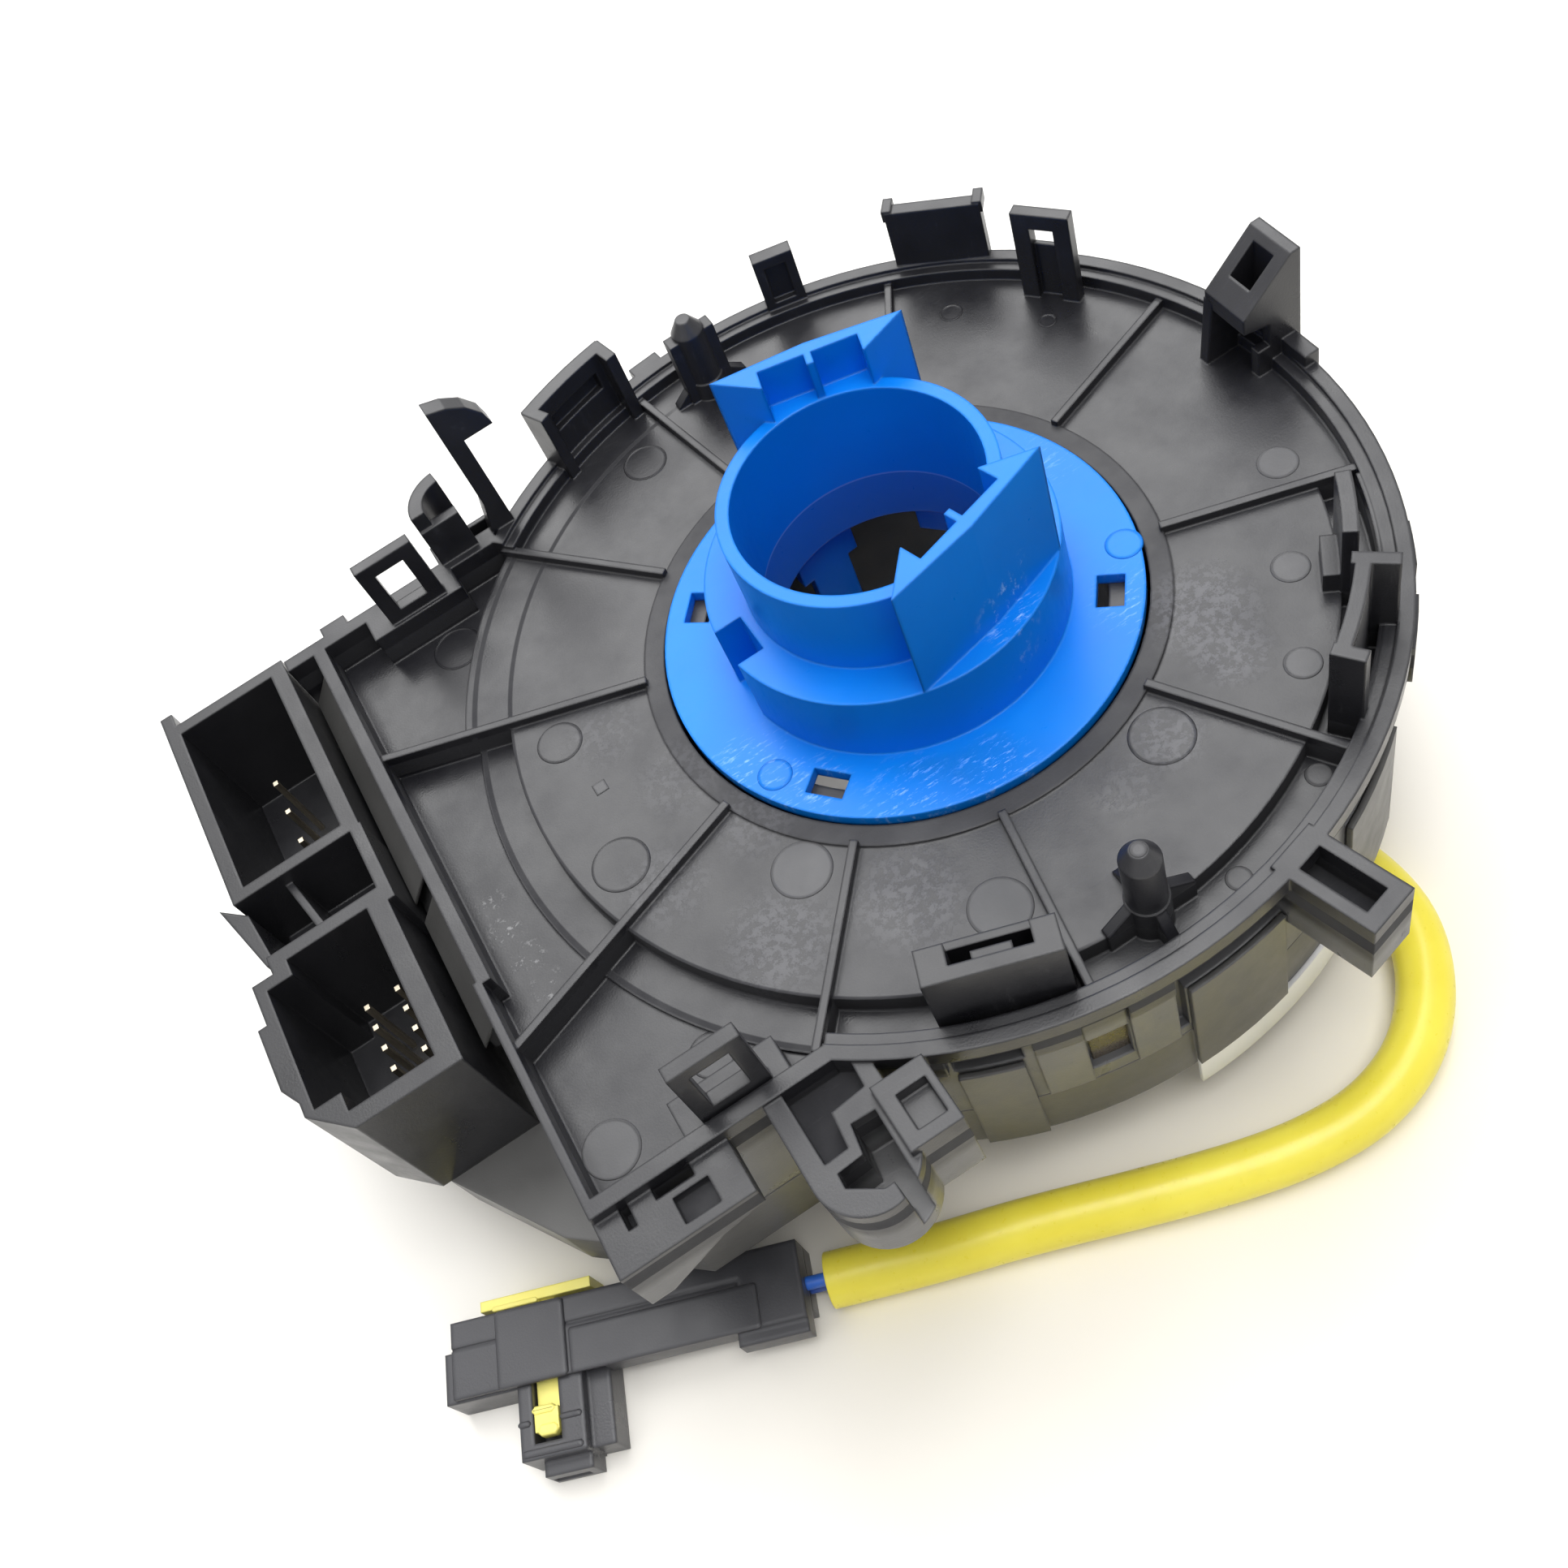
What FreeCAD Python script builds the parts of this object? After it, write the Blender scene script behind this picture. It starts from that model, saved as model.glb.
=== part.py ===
import FreeCAD, Part
import math
import os
import re
import Sketcher

# Steering column clock spring, seen from the column side.
# +Z points up the column and the rotor turns about Z. The origin is on the rotor's axis, in
# the top face of the cam's flange. The connector side of the stator faces -X. The levels
# below are counted from the plane that the unit rests on, and put() takes them to the origin.

SIZES = {
    # levels above the resting plane
    "flange_top": 38.5,
    "rim_top": 39.5,
    "deck_top": 37.4,
    "deck_wall": 2.0,
    "step_drop": 2.5,
    "seam_level": 21.0,
    "case_bottom": 11.5,
    "case_floor": 1.6,
    # stator, radii about the rotor axis
    "opening_radius": 27.4,
    "lip_width": 2.4,
    "lip_rise": 0.3,
    "rim_radius": 53.5,
    "step_set": 7.0,
    "skirt_set": 1.1,
    "rim_width": 1.6,
    "rim_depth": 2.4,
    "skirt_wall": 1.8,
    "rib_wall": 0.9,
    "rib_rise": 1.1,
    "rim_half_angle": 129.5,
    "snap_gap": 0.15,
    "tongue_out": 0.8,
    # connector bay on the -X side
    "bay_left": 60.2,
    "bay_top": 43.0,
    "bay_low": 42.0,
    "bay_wall": 1.8,
    "pin_circle": 46.0,
    "pin_radius": 2.05,
    "pin_rise": 10.0,
    "fin_reach": 5.0,
    "fin_rise": 2.6,
    # clips on the rim, as angles about the rotor axis
    "hook_start": 100.5,
    "hook_sweep": 14.3,
    "clip_start": -56.6,
    "clip_sweep": 12.8,
    # sockets
    "socket_depth": 20.0,
    "socket_floor": 1.6,
    "terminal_width": 0.64,
    "terminal_rise": 11.4,
    "signal_row": 73.1,
    "row_gap": 3.9,
    "signal_start": 11.2,
    "signal_pitch": 2.87,
    "airbag_row": 72.3,
    "airbag_start": 23.3,
    "airbag_pitch": 5.0,
    "tooth_start": 16.2,
    "tooth_pitch": 3.4,
    # cable chamber
    "drum_radius": 33.3,
    "drum_wall": 2.0,
    "neck_set": 1.8,
    "neck_wall": 2.6,
    "disc_set": 7.6,
    "disc_wall": 1.7,
    "shield_lap": 1.5,
    "shield_reach": 2.3,
    "step_top": 14.3,
    "running_gap": 0.4,
    "shaft_gap": 0.08,
    "ribbon_wall": 0.3,
    "ribbon_pitch": 0.75,
    "ribbon_inner": 33.6,
    "ribbon_set": 4.0,
    "ribbon_width": 16.2,
    "ribbon_low": 15.9,
    "roller_radius": 6.1,
    "roller_height": 16.2,
    "spindle_radius": 2.2,
    "carrier_wall": 1.2,
    "carrier_low": 14.5,
    "carrier_set": 6.1,
    "film_wall": 0.25,
    # cancelling cam
    "cam_flange_gap": 0.4,
    "cam_flange_wall": 1.5,
    "collar_radius": 19.3,
    "collar_rise": 9.4,
    "tube_radius": 14.8,
    "bore_radius": 13.3,
    "tube_rise": 19.75,
    "lobe_rise": 24.8,
    "lobe_angle": 74.0,
    "lobe_half_angle": 33.4,
    "lobe_wall": 1.3,
    "window_circle": 23.3,
    "leg_drop": 25.5,
    # airbag lead and its plug
    "sleeve_radius": 3.1,
    "wire_radius": 0.75,
    "plug_turn": -20.3,
    "wire_reach": 2.5,
    "plug_edge": -64.4,
    "plug_length": 41.3,
    "plug_width": 8.5,
    "plug_height": 6.5,
    "nose_reach": 9.6,
    "tray_back": 1.3,
    "lock_travel": 0.7,
    "lead_end": 27.6,
    "lead_line": 60.3,
    "guide_turn": -59.0,
    "guide_face": 39.4,
    "guide_length": 9.8,
    "guide_width": 9.2,
    "guide_side": 0.9,
}

doc = FreeCAD.newDocument("ClockSpring")
sheet = doc.addObject("Spreadsheet::Sheet", "Sizes")
for row, (alias, size) in enumerate(SIZES.items(), start=1):
    sheet.set("A%d" % row, alias)
    sheet.set("B%d" % row, str(size))
    sheet.setAlias("B%d" % row, alias)
doc.recompute()

WORDS = re.compile(r"\b(" + "|".join(SIZES) + r")\b")
# Sizes that follow from others: most keep a distance from the rim or from the opening.
FOLLOWS = {
    "step_inner": "(disc_radius - shield_lap)",
    "step_outer": "(disc_radius + shield_reach)",
    "step_radius": "(rim_radius - step_set)",
    "skirt_radius": "(rim_radius - skirt_set)",
    "disc_radius": "(rim_radius - disc_set)",
    "ribbon_outer": "(rim_radius - ribbon_set)",
    "carrier_outer": "(rim_radius - carrier_set)",
    "neck_radius": "(opening_radius - neck_set)",
    "cam_flange_radius": "(opening_radius - cam_flange_gap)",
    "plug_left": "(0 - lead_end - wire_reach - plug_length)",
}


def rule(text):
    """A size rule in the sheet's own words, with each word pointed at its cell."""
    text = str(text)
    for word, meaning in FOLLOWS.items():
        text = re.sub(r"\b%s\b" % word, meaning, text)
    return WORDS.sub(r"Sizes.\1", text)


def bind(item, **rules):
    for name, text in rules.items():
        item.setExpression(name, rule(text))
    return item


def put(item, x="0", y="0", z="0", turn="0", tilt="0"):
    """Places an item at x, y and level z of a frame turned about Z, tilted about its own X."""
    spin = "create(<<rotation>>; create(<<vector>>; 0; 0; 1); %s)" % rule(turn)
    lean = "create(<<rotation>>; create(<<vector>>; 1; 0; 0); %s)" % rule(tilt)
    here = "create(<<vector>>; %s; %s; %s)" % (rule(x), rule(y), rule("(%s) - flange_top" % z))
    turned = "create(<<placement>>; create(<<vector>>; 0; 0; 0); %s)" % spin
    seated = "create(<<placement>>; %s; %s)" % (here, lean)
    item.setExpression("Placement", turned + " * " + seated)
    return item


def block(name, x, y, z, length, width, height, turn="0"):
    item = doc.addObject("Part::Box", name)
    bind(item, Length=length, Width=width, Height=height)
    return put(item, x, y, z, turn)


def drum(name, radius, bottom, top, x="0", y="0", turn="0"):
    item = doc.addObject("Part::Cylinder", name)
    bind(item, Radius=radius, Height="(%s) - (%s)" % (top, bottom))
    return put(item, x, y, bottom, turn)


def cone(name, low_radius, high_radius, bottom, top, x="0", y="0", turn="0"):
    item = doc.addObject("Part::Cone", name)
    bind(item, Radius1=low_radius, Radius2=high_radius, Height="(%s) - (%s)" % (top, bottom))
    return put(item, x, y, bottom, turn)


def sector(name, radius, bottom, top, start, sweep):
    item = doc.addObject("Part::Cylinder", name)
    bind(item, Radius=radius, Height="(%s) - (%s)" % (top, bottom), Angle=sweep)
    return put(item, "0", "0", bottom, start)


def fuse(name, pieces):
    item = doc.addObject("Part::MultiFuse", name)
    item.Shapes = pieces
    item.Refine = True
    return item


def cut(name, base, tools):
    item = doc.addObject("Part::Cut", name)
    item.Base = base
    item.Tool = tools[0] if len(tools) == 1 else fuse(name + "_tools", tools)
    item.Refine = True
    return item


def ring(name, inner, outer, bottom, top, start="0", sweep="360"):
    """A ring about the rotor axis, whole or only from one angle over a sweep."""
    whole = sector(name + "_outer", outer, bottom, top, start, sweep)
    bore = drum(name + "_inner", inner, "(%s) - 1" % bottom, "(%s) + 1" % top)
    return cut(name, whole, [bore])


def corners_of(sketch, corners):
    """Adds one closed outline of straight edges, each corner bound to its size rules."""
    count = len(corners)
    for index in range(count):
        angle = 2 * math.pi * index / count
        later = 2 * math.pi * (index + 1) / count
        begin = FreeCAD.Vector(5 * math.cos(angle), 5 * math.sin(angle), 0)
        end = FreeCAD.Vector(5 * math.cos(later), 5 * math.sin(later), 0)
        sketch.addGeometry(Part.LineSegment(begin, end), False)
    for index in range(count):
        other = (index + 1) % count
        sketch.addConstraint(Sketcher.Constraint("Coincident", index, 2, other, 1))
    for index, (across, along) in enumerate(corners):
        for kind, text in (("DistanceX", across), ("DistanceY", along)):
            number = sketch.addConstraint(Sketcher.Constraint(kind, -1, 1, index, 1, 1.0))
            sketch.setExpression("Constraints[%d]" % number, rule(text))


def prism(name, corners, bottom, top, turn="0"):
    """An outline in plan, raised from bottom to top."""
    sketch = doc.addObject("Sketcher::SketchObject", name + "_outline")
    corners_of(sketch, corners)
    item = doc.addObject("Part::Extrusion", name)
    item.Base = sketch
    item.DirMode = "Normal"
    item.Solid = True
    bind(item, LengthFwd="(%s) - (%s)" % (top, bottom))
    return put(item, "0", "0", bottom, turn)


def wedge(name, corners, width, turn, side="0"):
    """An outline of radius and height, spread evenly to both sides of a turned radial plane."""
    sketch = doc.addObject("Sketcher::SketchObject", name + "_outline")
    corners_of(sketch, corners)
    item = doc.addObject("Part::Extrusion", name)
    item.Base = sketch
    item.DirMode = "Normal"
    item.Solid = True
    item.Symmetric = True
    bind(item, LengthFwd=width)
    return put(item, "0", side, "0", turn, "90")


def turned_body(name, corners):
    """A body of revolution about Z from one outline of radius and height."""
    body = doc.addObject("PartDesign::Body", name)
    sketch = body.newObject("Sketcher::SketchObject", name + "_section")
    plane = [item for item in body.Origin.OriginFeatures if item.Role == "XZ_Plane"][0]
    sketch.AttachmentSupport = [(plane, "")]
    sketch.MapMode = "FlatFace"
    corners_of(sketch, corners)
    spun = body.newObject("PartDesign::Revolution", name + "_turned")
    spun.Profile = sketch
    spun.ReferenceAxis = (sketch, ["V_Axis"])
    spun.Angle = 360
    body.Tip = spun
    return put(body)


def clip_wall(name, turn, width, wall, outer, bottom, top):
    """A flat upright clip wall that stands across a radius."""
    return block(name, "(%s) - (%s)" % (outer, wall), "-(%s) / 2" % width, bottom,
                 wall, width, "(%s) - (%s)" % (top, bottom), turn)


SUBPARTS = []


def keep(item, label):
    """Marks an item as a finished piece, which is written to a file of this name."""
    item.Label = label
    SUBPARTS.append(item)
    return item


def cover_deck():
    """The disc of the column-side cover: deck, lip, lower outer ring, rim, skirt and ribs."""
    rim_sweep = "2 * rim_half_angle"
    ring_top = "deck_top - step_drop"
    ring_low = "deck_top - step_drop - deck_wall"
    pieces = [
        ring("deck", "opening_radius", "step_radius", "deck_top - deck_wall", "deck_top"),
        ring("lip", "opening_radius", "opening_radius + lip_width", "deck_top - deck_wall",
             "deck_top + lip_rise"),
        ring("step_wall", "step_radius - 1.5", "step_radius", ring_low, "deck_top"),
        ring("outer_ring", "step_radius - 1", "skirt_radius - 1", ring_low, ring_top),
        ring("raised_ring", "step_radius - 1", "rim_radius - rim_width + 0.2", "deck_top - deck_wall",
             "deck_top", "-20.5", "180"),
        ring("rim", "rim_radius - rim_width", "rim_radius", "rim_top - rim_depth", "rim_top",
             "-rim_half_angle", rim_sweep),
    ]
    skirt = ring("skirt", "skirt_radius - skirt_wall", "skirt_radius", "seam_level", "rim_top - 0.5",
                 "-rim_half_angle", rim_sweep)
    pieces.append(cut("skirt_recessed", skirt, skirt_recesses()))
    for index, angle in enumerate((19.5, 59.5, 99.5, 129.5, -20.5, -60.5, -100.5, -130.5)):
        pieces.append(block("rib_%d" % index, "opening_radius + lip_width - 0.3", "-rib_wall / 2",
                            "deck_top - deck_wall", "step_radius - opening_radius - lip_width",
                            "rib_wall", "deck_wall + rib_rise", angle))
        pieces.append(block("rib_end_%d" % index, "step_radius - 0.5", "-rib_wall / 2", ring_low,
                            "rim_radius - step_radius - 0.6", "rib_wall",
                            "step_drop + deck_wall + rib_rise", angle))
    for index, (side, angle) in enumerate(((1, 159.5), (-1, -160.5))):
        pieces.append(block("long_rib_%d" % index, "opening_radius + lip_width - 0.3",
                            "-rib_wall / 2", ring_low,
                            "bay_left / cos(20) - opening_radius - lip_width - 0.6", "rib_wall",
                            "step_drop + deck_wall + rib_rise", angle))
    return pieces


SKIRT_RECESSES = (
    # start angle, sweep, top and bottom below the rim top
    (-117.0, 7.5, 2.5, 7.5),
    (-103.0, 4.9, 8.0, 16.0),
    (-92.6, 1.4, 2.5, 17.0),
    (-91.3, 13.6, 3.0, 8.0),
    (-66.0, 14.0, 3.0, 8.0),
)


def skirt_recesses():
    """Shallow recesses in the outside of the skirt: above the tongues, a window and a gap."""
    return [ring("recess_%d" % index, "skirt_radius - skirt_wall + 0.6", "skirt_radius + 1",
                 "rim_top - %s" % low, "rim_top - %s" % high, start, sweep)
            for index, (start, sweep, high, low) in enumerate(SKIRT_RECESSES)]


def cover_bay():
    """The square side of the cover towards the sockets, with its walls and shelves."""
    floor_top = "deck_top - step_drop - 0.4"
    floor_low = "deck_top - step_drop - deck_wall"
    plate = prism("bay_plate", [("-bay_left", "-bay_low"), ("-33.2", "-bay_low"),
                                ("-33.2", "bay_top"), ("-bay_left", "bay_top")], floor_low, floor_top)
    core = drum("bay_core", "step_radius - 0.5", "0", "rim_top + 5")
    floor = cut("bay_floor", plate, [core])
    walls = [
        block("bay_top_wall", "-63.4", "bay_top - bay_wall", "seam_level", "30.2", "bay_wall",
              "rim_top - seam_level"),
        block("bay_low_wall", "-bay_left", "-bay_low", "seam_level", "27", "bay_wall",
              "rim_top - seam_level"),
        block("bay_ridge_top", "-bay_left + 0.4", "-13", "seam_level", "1.6",
              "bay_top + 12", "rim_top - seam_level"),
        block("bay_ridge_low", "-bay_left", "-bay_low + 0.5", "seam_level", "1.0",
              "bay_low - 13", "rim_top - seam_level"),
        block("top_shelf", "-52.3", "bay_top - 5.4", floor_low, "12.3", "4.2",
              "rim_top - deck_top + step_drop + deck_wall"),
        block("low_shelf", "-48.8", "-bay_low + 0.6", floor_low, "12", "5.6",
              "rim_top - deck_top + step_drop + deck_wall - 1"),
        block("top_lug", "-57.7", "bay_top - 0.2", "rim_top - 5", "3.4", "1.7", "5"),
    ]
    return [floor] + walls


def locating_pins():
    """Two pins on the pin circle, round, with a tapered tip and four sloping fins at the foot."""
    base = "deck_top - step_drop - 0.4"
    shoulder = "deck_top + pin_rise"
    fin_top = "deck_top + fin_rise"
    pieces = []
    for index, side in enumerate((-90, 90)):
        pieces.append(drum("pin_shaft_%d" % index, "pin_radius", base, shoulder, "pin_circle", "0", side))
        pieces.append(drum("pin_foot_%d" % index, "pin_radius + 0.2", base, fin_top,
                           "pin_circle", "0", side))
        pieces.append(cone("pin_tip_%d" % index, "pin_radius", "pin_radius * 0.45", shoulder,
                           "deck_top + pin_rise + 1.8", "pin_circle", "0", side))
        inward = [("pin_circle", base), ("pin_circle", fin_top), ("pin_circle - pin_radius", fin_top),
                  ("pin_circle - fin_reach", "deck_top + 0.4"), ("pin_circle - fin_reach", base)]
        outward = [("pin_circle", base), ("pin_circle", fin_top), ("pin_circle + pin_radius", fin_top),
                   ("pin_circle + fin_reach", "deck_top - step_drop + 0.6"),
                   ("pin_circle + fin_reach", base)]
        pieces.append(wedge("pin_fin_in_%d" % index, inward, "rib_wall + 0.3", side))
        pieces.append(wedge("pin_fin_out_%d" % index, outward, "rib_wall + 0.3", side))
        across = "pin_circle" if side > 0 else "-pin_circle"
        for number, sign in enumerate(("", "-")):
            beside = [("0", base), ("0", fin_top), (sign + "pin_radius", fin_top),
                      (sign + "fin_reach", "deck_top + 0.4"), (sign + "fin_reach", base)]
            pieces.append(wedge("pin_fin_side_%d_%d" % (index, number), beside, "rib_wall + 0.3",
                                "0", across))
    pieces.append(block("rear_pin_blade", "pin_circle - 1", "-3.1", base, "2", "6.2",
                        "step_drop + pin_rise", 90))
    return pieces


def loop_clip(name, turn, centre, outer, wall, width, bottom, top, bar):
    """An upright loop: two legs and a bar over an open window."""
    plate = block(name + "_plate", "(%s) - (%s)" % (outer, wall), "(%s) - (%s) / 2" % (centre, width),
                  bottom, wall, width, "(%s) - (%s)" % (top, bottom), turn)
    window = block(name + "_window", "(%s) - (%s) - 1" % (outer, wall),
                   "(%s) - (%s) / 2 + (%s)" % (centre, width, bar), "(%s) + (%s)" % (bottom, "2.6"),
                   "(%s) + 2" % wall, "(%s) - 2 * (%s)" % (width, bar),
                   "(%s) - (%s) - 2.6 - (%s)" % (top, bottom, bar), turn)
    return cut(name, plate, [window])


def rim_hooks():
    """Clips that stand on the rim: slotted hook, post, wide hook, loop and ramped hook."""
    pieces = [
        ring("slot_hook_wall", "rim_radius - 1.8", "rim_radius + 0.1", "rim_top - 3", "rim_top + 8.4",
             "hook_start", "hook_sweep"),
        block("slot_hook_left", "rim_radius - 3.6", "-0.9", "deck_top - step_drop - 0.5", "3.5", "1.5",
              "rim_top - deck_top + step_drop + 8.9", "hook_start + hook_sweep - 0.5"),
        block("slot_hook_right", "rim_radius - 4.0", "-0.6", "deck_top - step_drop - 0.5", "3.9", "1.5",
              "rim_top - deck_top + step_drop + 8.9", "hook_start + 0.4"),
        clip_wall("tab_post", "74", "5.2", "1.9", "rim_radius", "rim_top - 2", "rim_top + 7.4"),
        clip_wall("wide_hook_wall", "51.4", "11.8", "1.7", "rim_radius + 0.2", "rim_top - 3",
                  "rim_top + 8.2"),
        block("wide_hook_ear_a", "rim_radius - 1.4", "-6.2", "rim_top + 6.9", "2.4", "1.2", "1.6", 51.4),
        block("wide_hook_ear_b", "rim_radius - 1.4", "5.0", "rim_top + 6.9", "2.4", "1.2", "1.6", 51.4),
        loop_clip("rim_loop", "34.7", "0", "rim_radius - 4.1", "1.5", "7.2", "deck_top - step_drop - 0.5",
                  "rim_top + 10.6", "2.1"),
        block("rim_loop_web", "rim_radius - 4.7", "-1.6", "deck_top - step_drop - 0.5", "0.6", "3.2",
              "rim_top - deck_top + step_drop + 6.1", "34.7"),
        block("rim_bump", "rim_radius - 0.3", "-2.1", "rim_top - 3.4", "1.8", "4.2", "3.4", 95.5),
    ]
    slot = block("slot_hook_slot", "rim_radius - 3", "-4", "rim_top + 3.4", "2.2", "8", "2.6",
                 "hook_start + hook_sweep / 2")
    pieces[0] = cut("slot_hook", pieces[0], [slot])
    dent = block("tab_dent", "rim_radius - 2.4", "-1.4", "rim_top + 0.4", "1.5", "2.8", "5.6", 74)
    pieces[3] = cut("tab", pieces[3], [dent])
    return pieces


def ramp_hook():
    """The tall hook at the side: a ramp with a square pocket, carried by two cheeks."""
    low = "deck_top - step_drop - 0.5"
    ramp = wedge("ramp_body", [("rim_radius - 6.5", "rim_top + 5.6"),
                               ("rim_radius - 0.8", "rim_top + 4.2"),
                               ("rim_radius - 0.8", low), ("rim_radius + 1.0", low),
                               ("rim_radius + 1.0", "rim_top + 13"),
                               ("rim_radius - 0.2", "rim_top + 13"),
                               ("rim_radius - 6.5", "rim_top + 7.6")],
                 "6.7", "0", "3.3")
    pocket = block("ramp_pocket", "rim_radius - 4.3", "1.6", "rim_top + 5.4", "3.2", "3.4", "9")
    cheek_a = wedge("ramp_cheek_a", [("rim_radius - 7.9", low), ("rim_radius", low),
                                     ("rim_radius + 0.6", "rim_top + 6"),
                                     ("rim_radius - 6.5", "rim_top + 6.6")], "1.4", "0", "6.2")
    cheek_b = wedge("ramp_cheek_b", [("rim_radius - 4.7", low), ("rim_radius", low),
                                     ("rim_radius", "rim_top + 6"),
                                     ("rim_radius - 3.1", "rim_top + 6"),
                                     ("rim_radius - 3.1", "rim_top + 1.6"),
                                     ("rim_radius - 4.7", "rim_top + 1.6")], "1.3", "0", "0.6")
    wall = block("ramp_wall", "rim_radius - 1.6", "-4.0", "rim_top - 6", "1.9", "10", "7.6")
    step = block("ramp_step", "rim_radius - 2.9", "-9.4", "rim_top - 7", "2.2", "5.4", "6.2")
    return [cut("ramp", ramp, [pocket]), cheek_a, cheek_b, wall, step]


def front_block():
    """The slotted catch at the front, open to the axis, and the square hollow box beside it."""
    turn = -110.2
    shell = block("catch_shell", "rim_radius - 7.5", "-6.1", "deck_top - step_drop - 0.5", "3.8", "13.4",
                  "rim_top - deck_top + step_drop + 8.3", turn)
    slot = block("catch_slot", "rim_radius - 7.9", "-3.2", "deck_top - step_drop + 1", "2.7", "8.0", "20", turn)
    bar = block("catch_bar", "rim_radius - 8.6", "-4.6", "deck_top - 1", "0.9", "10.6",
                "rim_top - deck_top + 6.6", turn)
    bump = block("catch_bump", "rim_radius - 6.1", "-1.0", "deck_top - 1", "1.2", "3.9",
                 "rim_top - deck_top + 8.6", turn)
    box = block("box_shell", "rim_radius - 2.2", "-2.6", "rim_top - 9.7", "11.2", "5.8", "9.7", -75)
    well = block("box_well", "rim_radius - 0.6", "-1.2", "rim_top - 4.2", "7.8", "3.0", "5", -75)
    return [cut("catch", shell, [slot]), bar, bump, cut("hollow_box", box, [well])]


def side_catches():
    """Raised pads on the outside of the skirt, and the tall curved clips at the right."""
    pieces = []
    for index, (start, sweep, high, low, out) in enumerate((
            (-108.3, 5.2, 1.0, 6.0, 0.9), (-108.3, 5.2, 5.5, 17.4, 0.6), (-103.0, 4.9, 1.0, 8.0, 0.3),
            (-97.9, 5.2, 1.0, 6.0, 0.9), (-97.9, 5.2, 5.5, 17.4, 0.6), (-119.4, 2.0, 1.0, 6.6, 0.8),
            (-47, 7, 1.0, 7.0, 1.4), (-36, 6, 1.0, 8.0, 1.4), (-24, 5, 1.0, 6.0, 1.2),
            (118, 5, 1.0, 5.0, 0.9))):
        pieces.append(ring("pad_%d" % index, "skirt_radius - 0.4", "skirt_radius + %s" % out,
                           "rim_top - %s" % low, "rim_top - %s" % high, start, sweep))
    base = "deck_top - step_drop - 0.5"
    top = "rim_top + 9.2"
    pieces += [
        ring("curved_clip", "rim_radius - 5.8", "rim_radius - 4.3", base, top, "clip_start", "clip_sweep"),
        block("clip_end_low", "rim_radius - 6.0", "-0.7", base, "3.4", "1.4",
              "rim_top - deck_top + step_drop + 9.7", "clip_start + 0.2"),
        block("clip_end_high", "rim_radius - 6.2", "-0.7", base, "4.6", "1.4",
              "rim_top - deck_top + step_drop + 9.7", "clip_start + clip_sweep + 0.2"),
        ring("curved_wall", "rim_radius - 7.1", "rim_radius - 5.5", base, "rim_top + 7.6", -38.4, 9.4),
        block("wall_foot", "rim_radius - 8.9", "-2.6", "deck_top - 1", "2.4", "5.2",
              "rim_top - deck_top + 1.6", -35),
        ring("inner_rib", "rim_radius - 3.3", "rim_radius - 2.6", base, "rim_top - 0.6", -56, 34),
    ]
    return pieces


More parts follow.
